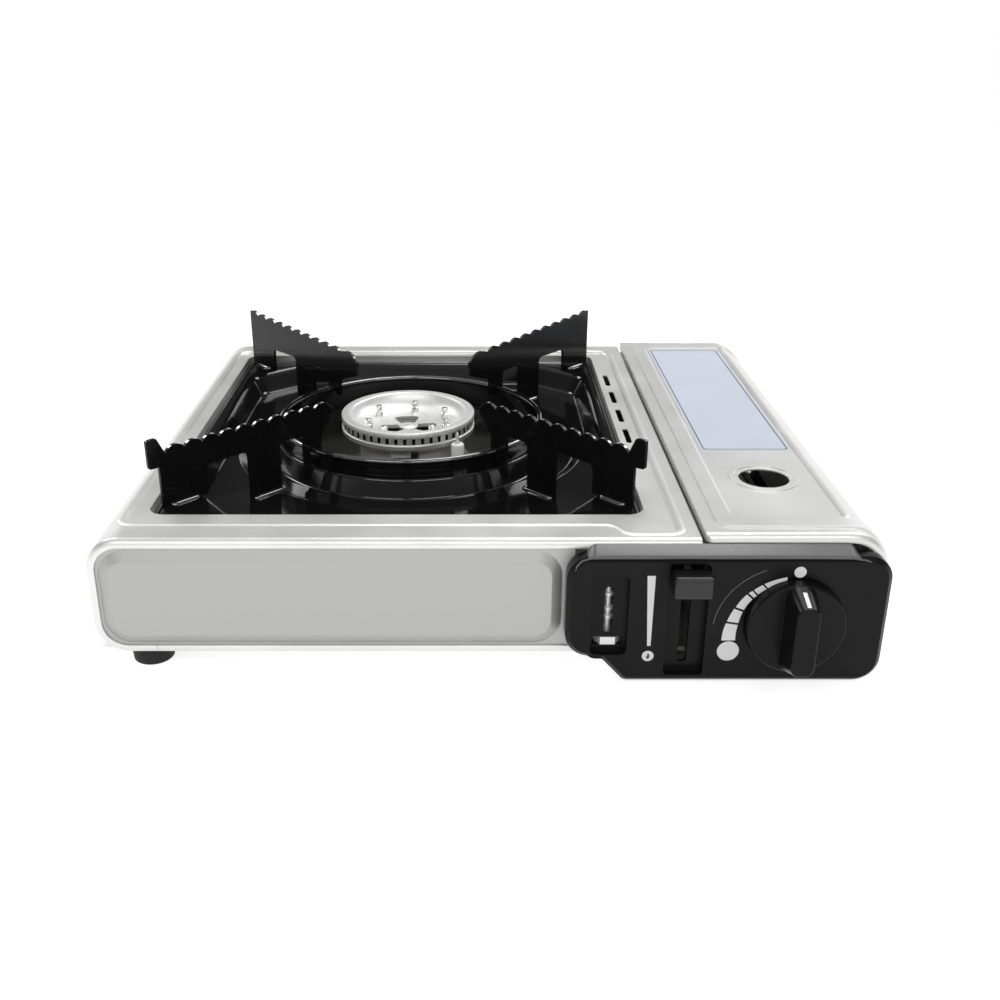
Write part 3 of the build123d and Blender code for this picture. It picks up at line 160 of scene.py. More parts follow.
satinSpec = {
    "dark": (0.8, 0.8, 0.785),
    "light": (0.88, 0.88, 0.865),
    "roughness": (0.38, 0.45),
    "metallic": 0.74,
    "cloudScale": 26.0,
    "grainScale": 1500.0,
    "grainHeight": 0.00001,
    "edge": 0.0007,
}
# darker copy of the satin steel for the front panel: painted shade, the same sheet as the deck drawn darker
# where it turns from the light
shadedFrontSpec = {
    "dark": (0.47, 0.475, 0.46),
    "light": (0.5, 0.505, 0.49),
    "roughness": (0.44, 0.54),
    "metallic": 0.72,
    "cloudScale": 60.0,
    "grainScale": 1300.0,
    "grainHeight": 0.000014,
    "edge": 0.0006,
}
innerSpec = {
    "dark": (0.5, 0.5, 0.49),
    "light": (0.6, 0.6, 0.59),
    "roughness": (0.34, 0.46),
    "metallic": 0.9,
    "cloudScale": 70.0,
    "grainScale": 900.0,
    "grainHeight": 0.00001,
    "edge": 0.0,
}


# polished and plated small metal
def brightMetal(name, spec):
    material, tree, shader = newMaterial(name, {"Metallic": 1.0})
    smear = noiseField(tree, objectPoint(tree), spec["smearScale"], 3.0, 0.6)
    edge = roundedNormal(tree, 0.0003)
    paint(tree, shader, smear, bumpNormal(tree, smear, spec["height"], 0.6, edge), spec)
    return material


brightSpec = {
    "dark": (0.72, 0.72, 0.72),
    "light": (0.84, 0.84, 0.83),
    "roughness": (0.14, 0.24),
    "smearScale": 180.0,
    "height": 0.000003,
}
brassSpec = {
    "dark": (0.66, 0.5, 0.22),
    "light": (0.8, 0.64, 0.32),
    "roughness": (0.22, 0.34),
    "smearScale": 240.0,
    "height": 0.00001,
}


# cast aluminium, turned about the burner's middle
def turnedAluminium(name, spec):
    material, tree, shader = newMaterial(name, {"Metallic": 0.85})
    point = objectPoint(tree, origin=spec["middle"])
    marks = {"Scale": spec["ringScale"], "Distortion": 1.2, "Detail": 2.0}
    rings = addNode(tree, "ShaderNodeTexWave", marks, wave_type="RINGS", rings_direction="Z")
    tree.links.new(point, rings.inputs["Vector"])
    cast = noiseField(tree, point, spec["castScale"], 4.0, 0.6)
    turned = bumpNormal(tree, rings.outputs["Fac"], spec["ringHeight"], 0.5, roundedNormal(tree, 0.0004))
    paint(tree, shader, cast, bumpNormal(tree, cast, spec["castHeight"], 0.5, turned), spec)
    return material


aluminiumSpec = {
    "dark": (0.78, 0.78, 0.765),
    "light": (0.88, 0.88, 0.865),
    "roughness": (0.42, 0.52),
    "middle": (-0.041, 0.025, 0.0),
    "ringScale": 260.0,
    "ringHeight": 0.000012,
    "castScale": 700.0,
    "castHeight": 0.00002,
}


# glassy black enamel, with the slight waviness of a fired coat
def firedEnamel(name, spec):
    glass = {"Specular IOR Level": spec["gloss"], "Coat Weight": spec["coat"]}
    material, tree, shader = newMaterial(name, {**glass, "Coat IOR": 1.8, "Coat Roughness": 0.05})
    point = objectPoint(tree)
    wave = noiseField(tree, point, spec["waveScale"], 1.0, 0.4)
    fleck = noiseField(tree, point, spec["fleckScale"], 2.0, 0.5)
    edge = roundedNormal(tree, spec["edge"])
    paint(tree, shader, fleck, bumpNormal(tree, wave, spec["waveHeight"], 1.0, edge), spec)
    return material


enamelSpec = {
    "dark": (0.004, 0.004, 0.0045),
    "light": (0.008, 0.008, 0.0085),
    "roughness": (0.07, 0.12),
    "gloss": 0.55,
    "coat": 0.0,
    "waveScale": 120.0,
    "waveHeight": 0.00006,
    "fleckScale": 900.0,
    "edge": 0.0005,
}
edgeEnamelSpec = {**enamelSpec, "gloss": 1.0, "coat": 1.0}
bladeEnamelSpec = {**enamelSpec, "gloss": 0.2, "roughness": (0.1, 0.15), "edge": 0.0003}


# moulded plastic with a fine spark-eroded grain
def mouldedPlastic(name, spec):
    material, tree, shader = newMaterial(name, {"Specular IOR Level": spec["gloss"]})
    point = objectPoint(tree)
    grain = noiseField(tree, point, spec["grainScale"], 2.0, 0.6)
    flow = noiseField(tree, point, 45.0, 3.0, 0.5)
    edge = roundedNormal(tree, spec["edge"]) if spec["edge"] else None
    paint(tree, shader, flow, bumpNormal(tree, grain, spec["grainHeight"], 0.5, edge), spec)
    return material


def grey(level):
    return level, level, level


plasticSpec = {
    "dark": grey(0.006),
    "light": grey(0.008),
    "roughness": (0.26, 0.33),
    "gloss": 0.14,
    "grainScale": 1600.0,
    "grainHeight": 0.00001,
    "edge": 0.0005,
}
igniterSpec = {**plasticSpec, "dark": grey(0.03), "light": grey(0.05), "roughness": (0.4, 0.5)}
rubberSpec = {
    **plasticSpec, "dark": grey(0.012), "light": grey(0.02),
    "roughness": (0.6, 0.75), "gloss": 0.35,
}
sleeveSpec = {
    **plasticSpec, "dark": (0.7, 0.7, 0.67), "light": (0.8, 0.8, 0.77),
    "roughness": (0.4, 0.5), "gloss": 0.5,
}
ceramicSpec = {
    **plasticSpec, "dark": (0.86, 0.86, 0.84), "light": (0.92, 0.92, 0.9),
    "roughness": (0.16, 0.24), "gloss": 0.5, "grainHeight": 0.000005,
}
printSpec = {
    **plasticSpec, "dark": grey(0.86), "light": grey(0.9),
    "roughness": (0.3, 0.4), "gloss": 0.4, "grainHeight": 0.000003, "edge": 0.0001,
}
labelSpec = {
    **plasticSpec, "dark": (0.6, 0.65, 0.74), "light": (0.64, 0.685, 0.775),
    "roughness": (0.3, 0.33), "gloss": 0.45, "grainHeight": 0.000004, "edge": 0.0,
}
inkSpec = {
    **plasticSpec, "dark": (0.05, 0.06, 0.09), "light": (0.07, 0.08, 0.11),
    "roughness": (0.3, 0.4), "edge": 0.0001,
}
# grey copy of the black plastic: painted sheen for the moulding's top strip, edge bead and dial ridge
sheenSpec = {**plasticSpec, "dark": grey(0.11), "light": grey(0.13), "gloss": 0.5}
capSpec = {**plasticSpec, "roughness": (0.17, 0.21), "gloss": 0.5, "edge": 0.0013}
tabMetalSpec = {
    **satinSpec, "dark": (0.84, 0.84, 0.83), "light": (0.9, 0.9, 0.89),
    "metallic": 0.5, "edge": 0.0002,
}
cupSpec = {
    **satinSpec, "dark": (0.7, 0.69, 0.67), "light": (0.78, 0.77, 0.75),
    "roughness": (0.4, 0.5), "metallic": 0.5, "edge": 0.0004,
}
# near-black copy of the satin steel: painted shade for the flame slots, the chamber under the windows and the
# sheets behind the vents and the bay slit
paintedShadeSpec = {**satinSpec, "dark": grey(0.012), "light": grey(0.03), "roughness": (0.6, 0.8), "edge": 0.0}

finishes = {
    "satin_steel": satinSheet("satinSteel", satinSpec),
    "front_steel": satinSheet("shadedFrontSteel", shadedFrontSpec),
    "inner_steel": satinSheet("innerSteel", innerSpec),
    "bright_steel": brightMetal("brightSteel", brightSpec),
    "brass": brightMetal("brass", brassSpec),
    "cast_aluminium": turnedAluminium("castAluminium", aluminiumSpec),
    "black_enamel": firedEnamel("blackEnamel", enamelSpec),
    "black_plastic": mouldedPlastic("blackPlastic", plasticSpec),
    "igniter_plastic": mouldedPlastic("igniterPlastic", igniterSpec),
    "rubber": mouldedPlastic("footRubber", rubberSpec),
    "lead_sleeve": mouldedPlastic("leadSleeve", sleeveSpec),
    "white_ceramic": mouldedPlastic("whiteCeramic", ceramicSpec),
    "label_film": mouldedPlastic("labelFilm", labelSpec),
}
bladeEnamel = firedEnamel("bladeEnamel", bladeEnamelSpec)
edgeEnamel = firedEnamel("edgeEnamel", edgeEnamelSpec)
whitePrint = mouldedPlastic("whitePrint", printSpec)
sheenPlastic = mouldedPlastic("sheenPlastic", sheenSpec)
capPlastic = mouldedPlastic("capPlastic", capSpec)
tabMetal = satinSheet("tabMetal", tabMetalSpec)
paintedShadeMetal = satinSheet("paintedShadeMetal", paintedShadeSpec)
satinCup = satinSheet("satinCup", cupSpec)
darkInk = mouldedPlastic("darkInk", inkSpec)

# nodes whose finish is finer than their slot's
ownFinish = {"lever_cap": capPlastic, "lock_nut": tabMetal, "lock_rod": tabMetal, "burner_cup": satinCup}


def dressNodes():
    for entry in frame["record"]["subparts"]:
        mesh = nodes[entry["node"]].data
        mesh.materials.clear()
        mesh.materials.append(ownFinish.get(entry["node"], finishes[entry["material_slot"]]))


dressNodes()
print("finishes made:", len(finishes))


# mesh helpers, all in millimetres
def fixNormals(piece):
    work = bmesh.new()
    work.from_mesh(piece.data)
    bmesh.ops.recalc_face_normals(work, faces=work.faces)
    work.to_mesh(piece.data)
    work.free()


def newPiece(name, points, faces, body, slot, material=None, smoothAngle=35.0, outward=True):
    mesh = bpy.data.meshes.new(name)
    mesh.from_pydata([(x * mm, y * mm, z * mm) for x, y, z in points], [], faces)
    mesh.validate()
    mesh.shade_smooth()
    mesh.set_sharp_from_angle(angle=math.radians(smoothAngle))
    mesh.materials.append(material or finishes[slot])
    piece = bpy.data.objects.new(name, mesh)
    bpy.context.scene.collection.objects.link(piece)
    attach(piece, body)
    if outward:
        fixNormals(piece)
    return piece


def turnSteps(steps):
    return [2 * math.pi * step / steps for step in range(steps)]


def aroundPoint(middle, radius, turn):
    return middle[0] + radius * math.cos(turn), middle[1] + radius * math.sin(turn)


def ringFaces(ringCount, ringSize, closed=False):
    faces = []
    last = ringCount if closed else ringCount - 1
    for ring in range(last):
        near = ring * ringSize
        far = ((ring + 1) % ringCount) * ringSize
        for step in range(ringSize):
            after = (step + 1) % ringSize
            faces.append((near + step, near + after, far + after, far + step))
    return faces


# strips along a closed path of open sections
def bandFaces(count, size):
    faces = []
    for index in range(count):
        near, far = index * size, (index + 1) % count * size
        for step in range(size - 1):
            faces.append((near + step, far + step, far + step + 1, near + step + 1))
    return faces


def sideFaces(count, base=0):
    faces = []
    for index in range(count):
        after = (index + 1) % count
        faces.append((base + index, base + count + index, base + count + after, base + after))
    return faces


def plateFaces(count):
    return [tuple(range(count)), tuple(range(2 * count - 1, count - 1, -1))] + sideFaces(count)


# a row of closed sections with both ends capped
def tubeFaces(rows, size):
    ends = [tuple(range(size)), tuple(range(rows * size - 1, (rows - 1) * size - 1, -1))]
    return ringFaces(rows, size) + ends


def turnedPiece(name, profile, middle, steps, *look, **settings):
    points = [(*aroundPoint(middle, radius, turn), z) for radius, z in profile for turn in turnSteps(steps)]
    return newPiece(name, points, ringFaces(len(profile), steps, True), *look, **settings)


def softCorner(before, corner, after, steps):
    spots = []
    for step in range(steps + 1):
        t = step / steps
        near, middle, far = (1 - t) ** 2, 2 * t * (1 - t), t * t
        spots.append(tuple(near * a + middle * b + far * c for a, b, c in zip(before, corner, after)))
    return spots


def filletLoop(corners, radii, steps=8):
    loop = []
    count = len(corners)
    for index, corner in enumerate(corners):
        if radii[index] == 0:
            loop.append(corner)
            continue
        here = Vector(corner)
        back = Vector(corners[index - 1]) - here
        ahead = Vector(corners[(index + 1) % count]) - here
        half = back.angle(ahead) / 2
        reach = min(radii[index] / math.tan(half), back.length * 0.49, ahead.length * 0.49)
        start = here + back.normalized() * reach
        end = here + ahead.normalized() * reach
        loop += softCorner(tuple(start), corner, tuple(end), steps)
    return loop


def rectCorners(x0, x1, y0, y1):
    return [(x0, y0), (x1, y0), (x1, y1), (x0, y1)]


# distance from the middle to the first side of the loop that lies at this angle
def rayReach(loop, middle, angle):
    dx, dy = math.cos(angle), math.sin(angle)
    best = None
    for index, (x0, y0) in enumerate(loop):
        x1, y1 = loop[(index + 1) % len(loop)]
        ex, ey = x1 - x0, y1 - y0
        cross = dx * ey - dy * ex
        if abs(cross) < 1e-12:
            continue
        wx, wy = x0 - middle[0], y0 - middle[1]
        reach = (wx * ey - wy * ex) / cross
        along = (wx * dy - wy * dx) / cross
        if reach > 0 and -1e-9 <= along <= 1 + 1e-9 and (best is None or reach < best):
            best = reach
    return best


def flatPlate(name, loop, low, high, body, slot, material, plane="xy"):
    points = []
    for level in (low, high):
        points += [(a, b, level) if plane == "xy" else (a, level, b) for a, b in loop]
    return newPiece(name, points, plateFaces(len(loop)), body, slot, material)


# direction across an open line at one of its points
def crossAt(line, index):
    (x0, z0), (x1, z1) = line[max(index - 1, 0)], line[min(index + 1, len(line) - 1)]
    length = math.hypot(x1 - x0, z1 - z0)
    return -(z1 - z0) / length, (x1 - x0) / length


def roundEdges(piece, width):
    rounding = piece.modifiers.new("rounding", "BEVEL")
    rounding.width = width * mm
    rounding.segments = 3
    rounding.limit_method = "ANGLE"
    return rounding


# faces that look up take the glossier enamel
def glossUpward(piece, least):
    piece.data.materials.append(edgeEnamel)
    for face in piece.data.polygons:
        if face.normal.z > least:
            face.material_index = 1


# drip tray: one pressed sheet from the rim down to the raised collar round the burner
traySpec = {
    "burner": (-41.0, 25.0),
    "middle": (-41.0, 17.5),
    "halfWidth": 110.5,
    "halfDepth": 128.0,
    "rimRadius": 9.0,
    "top": 60.7,
    "skin": 0.48,
    "rimEdge": [(0.0, 0.56), (0.1, 0.15), (0.5, 0.0)],
    "flange": 6.0,
    "shelf": 2.2,
    "floor": 49.2,
    "draft": 6.0,
    "wallShares": (0.22, 0.8),
    "wallFoot": 1.2,
    "cutX": 30.0,
    "cutFront": 42.0,
    "cutRear": 26.0,
    "basinRound": 14.0,
    "bends": [
        ((96.6, 49.2), (96.0, 49.2), (94.5, 48.3), 3),
        ((91.5, 46.6), (90.0, 45.7), (88.0, 45.7), 3),
        ((79.0, 45.7), (76.6, 45.7), (76.1, 47.3), 4),
        ((73.6, 55.0), (73.2, 56.2), (72.4, 56.0), 4),
    ],
    "seatEdge": [(72.4, 50.3), (70.6, 50.3), (70.6, 49.9)],
    "steps": 720,
}


def basinLoop(spec, inset):
    x, y = spec["middle"]
    halfWidth = spec["halfWidth"] - spec["flange"] - inset
    halfDepth = spec["halfDepth"] - spec["flange"] - inset
    x0, x1, y0, y1 = x - halfWidth, x + halfWidth, y - halfDepth, y + halfDepth
    cut = spec["cutX"] - inset / 2
    front = spec["cutFront"] - inset / 2
    rear = spec["cutRear"] - inset / 2
    corners = [
        (x0 + cut, y0), (x1 - cut, y0), (x1, y0 + front), (x1, y1 - rear),
        (x1 - cut, y1), (x0 + cut, y1), (x0, y1 - rear), (x0, y0 + front),
    ]
    return filletLoop(corners, [spec["basinRound"]] * 8, 8)


# each column runs from the rim down the wall to the floor, the well and the collar's seat
def makeDripTray(spec):
    burner = spec["burner"]
    x, y = spec["middle"]
    halfX, halfY = spec["halfWidth"], spec["halfDepth"]
    rim = filletLoop(rectCorners(x - halfX, x + halfX, y - halfY, y + halfY), [spec["rimRadius"]] * 4)
    top, floor = spec["top"], spec["floor"]
    loops = (rim, basinLoop(spec, 0.0), basinLoop(spec, spec["draft"]))
    columns = []
    for angle in turnSteps(spec["steps"]):
        rimReach, topReach, lowReach = (rayReach(loop, burner, angle) for loop in loops)
        width, height = lowReach - topReach, floor - top
        bend, land = ((topReach + width * share, top + height * share) for share in spec["wallShares"])
        shelf = min(spec["shelf"], (rimReach - topReach) * 0.5)
        column = [(rimReach - inward, top - drop) for inward, drop in spec["rimEdge"]]
        column += softCorner((topReach + shelf, top), (topReach, top), bend, 5)
        column += softCorner(land, (lowReach, floor), (lowReach - spec["wallFoot"], floor), 4)
        for corner in spec["bends"]:
            column += softCorner(*corner)
        column += spec["seatEdge"]
        columns.append([(*aroundPoint(burner, radius, angle), z) for radius, z in column])
    rings = len(columns[0])
    points = [column[ring] for ring in range(rings) for column in columns]
    faces = [tuple(reversed(face)) for face in ringFaces(rings, spec["steps"])]
    tray = newPiece("enamelTray", points, faces, "tray", "black_enamel", smoothAngle=60.0, outward=False)
    sheet = tray.modifiers.new("sheet", "SOLIDIFY")
    sheet.thickness = spec["skin"] * mm
    sheet.offset = -1.0
    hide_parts("drip_tray")


makeDripTray(traySpec)
print("drip tray pressed")


# raised lips in the tray that grip the blades' feet
lipSpec = {
    "reachX": 108.0,
    "reachY": 119.0,
    "foot": (149.0, 16.0),
    "leg": (100.0, 21.0),
    "width": 5.8,
    "bead": 2.5,
    "height": 1.7,
    "sunk": 0.15,
    "endSteps": 12,
    "beadSteps": 8,
}


def bladeDirection(sideX, sideY, spec):
    length = math.hypot(spec["reachX"], spec["reachY"])
    return sideX * spec["reachX"] / length, sideY * spec["reachY"] / length


def bladePoint(direction, along, across, z):
    bx, by = traySpec["burner"]
    ux, uy = direction
    return bx + ux * along - uy * across, by + uy * along + ux * across, z


def makeLip(name, sideX, sideY, place, height, spec):
    reach, length = place
    direction = bladeDirection(sideX, sideY, spec)
    turn = (spec["width"] - spec["bead"]) / 2
    half = length / 2 - spec["width"] / 2
    steps, beadSteps = spec["endSteps"], spec["beadSteps"]
    path = []
    for end, start in ((1, 0), (-1, math.pi)):
        for step in range(steps + 1):
            angle = math.pi * (step / steps - 0.5) + start
            nx, ny = math.cos(angle), math.sin(angle)
            path.append((end * half + turn * nx, turn * ny, nx, ny))
    points = []
    for px, py, nx, ny in path:
        for step in range(beadSteps + 1):
            roll = math.pi * step / beadSteps
            across = spec["bead"] / 2 * math.cos(roll)
            z = height - spec["sunk"] + spec["height"] * math.sin(roll)
            points.append(bladePoint(direction, reach + (px + nx * across), py + ny * across, z))
    faces = bandFaces(len(path), beadSteps + 1)
    newPiece(name, points, faces, "tray", "black_enamel", edgeEnamel, 60.0)


def makeLips(spec):
    for sideY, rowName in ((-1, "Front"), (1, "Rear")):
        for sideX, sideName in ((-1, "Left"), (1, "Right")):
            makeLip("footLip" + rowName + sideName, sideX, sideY, spec["foot"], traySpec["top"], spec)
            makeLip("legLip" + rowName + sideName, sideX, sideY, spec["leg"], traySpec["floor"], spec)


makeLips(lipSpec)
print("foot lips raised")


# support ring with a rolled bead on top and a notch for the electrode
ringSpec = {
    "inner": 70.8,
    "outer": 72.0,
    "foot": 50.4,
    "notchTop": 58.2,
    "notchWidth": 7.6,
    "notchAngle": -67.0,
    "bead": 1.5,
    "beadHeight": 64.8,
    "beadSteps": 22,
    "steps": 360,
}


def makeSupportRing(spec):
    foot, notchTop = spec["foot"], spec["notchTop"]
    centre = (spec["inner"] + spec["outer"]) / 2
    half = (spec["outer"] - spec["inner"]) / 2
    meet = math.asin(half / spec["bead"])
    bead = []
    for step in range(spec["beadSteps"] + 1):
        angle = -math.pi / 2 + meet + (2 * math.pi - 2 * meet) * step / spec["beadSteps"]
        bead.append(aroundPoint((centre, spec["beadHeight"]), spec["bead"], angle))
    notch = math.degrees(spec["notchWidth"] / 2 / spec["outer"])
    columns = []
    for step in range(spec["steps"]):
        angle = 360 * (step + 0.5) / spec["steps"] - notch
        columns.append((angle, notchTop if angle < notch else foot))
    columns += [(-notch, foot), (-notch + 0.01, notchTop), (notch, notchTop), (notch + 0.01, foot)]
    columns.sort()
    skin = []
    for angle, low in columns:
        turn = math.radians(angle + spec["notchAngle"])
        profile = [(spec["inner"], low + 0.3), (centre, low), (spec["outer"], low + 0.3)] + bead
        skin.append([(*aroundPoint(traySpec["burner"], radius, turn), z) for radius, z in profile])
    rings = len(skin[0])
    points = [column[ring] for ring in range(rings) for column in skin]
    faces = ringFaces(rings, len(skin), True)
    piece = newPiece("supportHoop", points, faces, "tray", "black_enamel", smoothAngle=60.0)
    glossUpward(piece, 0.05)
    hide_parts("support_ring")


makeSupportRing(ringSpec)
print("support ring turned")


# the four scalloped blades: side view, with s outwards from the burner and z above the deck
bladeSpec = {
    "deck": 66.0,
    "reach": 160.7,
    "thickness": 1.6,
    "teeth": 9,
    "toothPitch": 9.7,
    "toothDepth": 2.3,
    "toothSteps": 8,
    "nose": (2.6, 4.5),
    "underside": [
        (160.7, -5.2, 0.6), (136.0, -5.2, 0.6), (136.0, 9.0, 3.4), (111.5, 9.0, 3.4), (111.5, -16.7, 0.6),
        (92.5, -16.7, 0.6), (92.5, 8.0, 3.4), (77.2, 8.0, 3.4), (77.2, -16.0, 0.8), (73.2, -16.0, 0.8),
        (73.2, 0.6, 1.2), (69.6, 0.6, 1.2), (69.6, -5.0, 0.8), (65.6, -5.0, 0.8), (65.6, 5.0, 2.0),
    ],
    "rounding": 0.45,
}
bladeRows = {
    "front": {
        "inner": 56.5,
        "noseLow": 15.8,
        "top": (22.0, 24.0),
        "firstNotch": 156.2,
        "outerEnd": [
            (156.9, 21.0, 0), (160.8, 29.0, 1.3), (166.1, 29.0, 1.0), (166.1, 15.0, 1.6), (160.7, 15.0, 0.6),
        ],
        "earTurn": {"left": 0.0, "right": 8.0},
    },
    "rear": {
        "inner": 48.0,
        "noseLow": 11.0,
        "top": (23.4, 30.2),
        "firstNotch": 152.2,
        "outerEnd": [],
        "earTurn": {"left": 0.0, "right": 0.0},
    },
}


def toothArc(start, end, crest, spec, limit=None):
    half = (end - start) / 2
    radius = (half * half + spec["toothDepth"] ** 2) / (2 * spec["toothDepth"])
    arc = []
    for step in range(spec["toothSteps"] + 1):
        s = start + (end - start) * step / spec["toothSteps"]
        if limit is None or s < limit:
            arc.append((s, crest - radius + math.sqrt(radius ** 2 - (s - start - half) ** 2), 0))
    return arc


def bladeLoop(spec, row):
    inner, (low, high) = row["inner"], row["top"]
    rise = (high - low) / (spec["reach"] - inner)
    slope, drop = spec["nose"]
    last = row["firstNotch"] - spec["teeth"] * spec["toothPitch"]
    corners = [(inner, row["noseLow"], 1.5), (inner, low - drop, 1.5)]
    corners += toothArc(inner + slope, last, low + rise * (last - inner) / 2, spec)
    for tooth in range(spec["teeth"]):
        start = last + tooth * spec["toothPitch"]
        middle = start + spec["toothPitch"] / 2
        corners += toothArc(start, start + spec["toothPitch"], low + rise * (middle - inner), spec)
    if not row["outerEnd"]:
        start = row["firstNotch"]
        corners += toothArc(start, start + spec["toothPitch"], high, spec, spec["reach"])
        corners.append((spec["reach"], high - 0.6, 0))
    corners += row["outerEnd"] + spec["underside"]
    return filletLoop([corner[:2] for corner in corners], [corner[2] for corner in corners], 4)


def makeBlade(rowName, sideX, sideY, sideName, spec, row):
    direction = bladeDirection(sideX, sideY, lipSpec)
    loop = bladeLoop(spec, row)
    turn = math.radians(row["earTurn"][sideName])
    points = []
    for side in (-spec["thickness"] / 2, spec["thickness"] / 2):
        for s, z in loop:
            beyond = max(0.0, s - spec["reach"])
            along = s - beyond + beyond * math.cos(turn)
            points.append(bladePoint(direction, along, side + beyond * math.sin(turn), spec["deck"] + z))
    name = "blade" + rowName.title() + sideName.title()
    blade = newPiece(name, points, plateFaces(len(loop)), "tray", "black_enamel", bladeEnamel, 50.0)
    glossUpward(blade, 0.3)
    rounding = roundEdges(blade, spec["rounding"])
    rounding.angle_limit = math.radians(35)
    rounding.harden_normals = True
    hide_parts("support_blade_" + rowName + "_" + sideName)


for sideY, rowName in ((-1, "front"), (1, "rear")):
    for sideX, sideName in ((-1, "left"), (1, "right")):
        makeBlade(rowName, sideX, sideY, sideName, bladeSpec, bladeRows[rowName])
print("blades cut")


# burner head: bowl with three windows, flat crest, and a row of flame slots under it
headSpec = {
    "middle": (-42.5, 25.0),
    "lean": 0.018,
    "bowl": [
        (15.6, 59.1), (20.0, 59.35), (24.2, 60.2), (27.4, 61.6), (29.6, 63.5), (30.9, 65.6), (31.6, 67.0),
        (32.1, 67.5), (32.7, 67.65), (36.1, 67.6), (36.55, 67.45), (36.7, 67.1), (36.7, 65.1), (36.3, 64.85),
        (36.1, 64.5),
    ],
    "skirt": [
        (36.1, 61.4), (36.1, 60.9), (36.3, 60.65), (36.7, 60.5), (36.7, 58.5), (36.5, 58.2), (36.0, 58.1),
        (28.0, 58.1),
    ],
    "slots": 48,
    "slotWidth": 1.75,
    "slotDepth": 2.2,
    "windowAngles": (97.0, 207.0, 347.0),
    "window": [(4.2, -4.1), (14.6, -7.6), (14.6, 7.6), (4.2, 4.1)],
    "windowRound": 2.6,
    "bulge": 0.6,
    "bulgeFrom": 14.0,
    "floor": 59.1,
    "plate": 2.0,
    "chamber": [(17.2, -0.6), (17.2, -2.6), (16.4, -3.4), (0.02, -3.4)],
    "hub": [(5.4, 0.0), (4.6, 0.1), (4.0, 0.4), (3.2, 0.75), (2.0, 0.95), (0.7, 1.0), (0.02, 1.0)],
    "hubRise": 0.9,
    "hubLift": 0.02,
}


def headPoint(radius, turn, z, spec):
    x, y = spec["middle"]
    dy = radius * math.sin(turn)
    return x + radius * math.cos(turn), y + dy, z + spec["lean"] * dy


def makeBurnerHead(spec):
    slotTurn = spec["slotWidth"] / spec["bowl"][-1][0]
    pitch = 2 * math.pi / spec["slots"]
    turns = []
    for slot in range(spec["slots"]):
        centre = slot * pitch
        turns += [centre - slotTurn / 2, centre, centre + slotTurn / 2]
        turns += [centre + slotTurn / 2 + (pitch - slotTurn) * share for share in (0.33, 0.67)]
    profile = spec["bowl"] + spec["skirt"]
    count = len(turns)
    points = [headPoint(radius, turn, z, spec) for radius, z in profile for turn in turns]
    band = len(spec["bowl"]) - 1
    faces = []
    for ring in range(len(profile) - 1):
        for step in range(count):
            if ring == band and step % 5 in (0, 1):
                continue
            near, after = ring * count, (step + 1) % count
            faces.append((near + step, near + after, near + count + after, near + count + step))
    head = newPiece("burnerHead", points, faces, "housing", "cast_aluminium", smoothAngle=40.0, outward=False)
    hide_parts("burner_cap")

    # the slots' pockets, painted near-black as shade in the recesses
    outer, high = spec["bowl"][-1]
    inner, low = outer - spec["slotDepth"], spec["skirt"][0][1]
    points, faces = [], []
    for slot in range(spec["slots"]):
        base = len(points)
        for radius in (outer, inner):
            for side, z in ((-1, low), (1, low), (1, high), (-1, high)):
                points.append(headPoint(radius, slot * pitch + side * slotTurn / 2, z, spec))
        faces.append((base + 4, base + 5, base + 6, base + 7))
        for side in range(4):
            after = (side + 1) % 4
            faces.append((base + side, base + after, base + 4 + after, base + 4 + side))
    newPiece("flameSlots", points, faces, "housing", "cast_aluminium", paintedShadeMetal, 20.0, False)


def windowLoops(spec):
    half = spec["window"][2][1]
    plain = filletLoop(spec["window"], [spec["windowRound"]] * 4, 5)
    loop = []
    for a, b in plain:
        loop.append((a + spec["bulge"] * (1 - (b / half) ** 2) * (a > spec["bulgeFrom"]), b))
    openings = []
    for angle in spec["windowAngles"]:
        c, s = math.cos(math.radians(angle)), math.sin(math.radians(angle))
        openings.append([(a * c - b * s, a * s + b * c) for a, b in loop])
    return openings


def makeBurnerFloor(spec):
    x, y = spec["middle"]
    rim = [aroundPoint((0.0, 0.0), spec["bowl"][0][0], turn) for turn in turnSteps(96)]
    openings = windowLoops(spec)
    work = bmesh.new()
    edges = []
    for loop in [rim] + openings:
        corners = [work.verts.new((a, b, 0.0)) for a, b in loop]
        edges += [work.edges.new(pair) for pair in zip(corners, corners[1:] + corners[:1])]
    bmesh.ops.triangle_fill(work, edges=edges, use_beauty=True)
    bmesh.ops.recalc_face_normals(work, faces=work.faces)
    if sum(face.normal.z for face in work.faces) < 0:
        bmesh.ops.reverse_faces(work, faces=work.faces)
    work.verts.index_update()
    spots = [(corner.co.x, corner.co.y) for corner in work.verts]
    points = [(x + a, y + b, spec["floor"] + spec["lean"] * b) for a, b in spots]
    faces = [tuple(v.index for v in face.verts) for face in work.faces]
    work.free()
    for loop in openings:
        faces += sideFaces(len(loop), len(points))
        for drop in (0.0, spec["plate"]):
            points += [(x + a, y + b, spec["floor"] + spec["lean"] * b - drop) for a, b in loop]
    newPiece("burnerFloor", points, faces, "housing", "cast_aluminium", smoothAngle=40.0, outward=False)


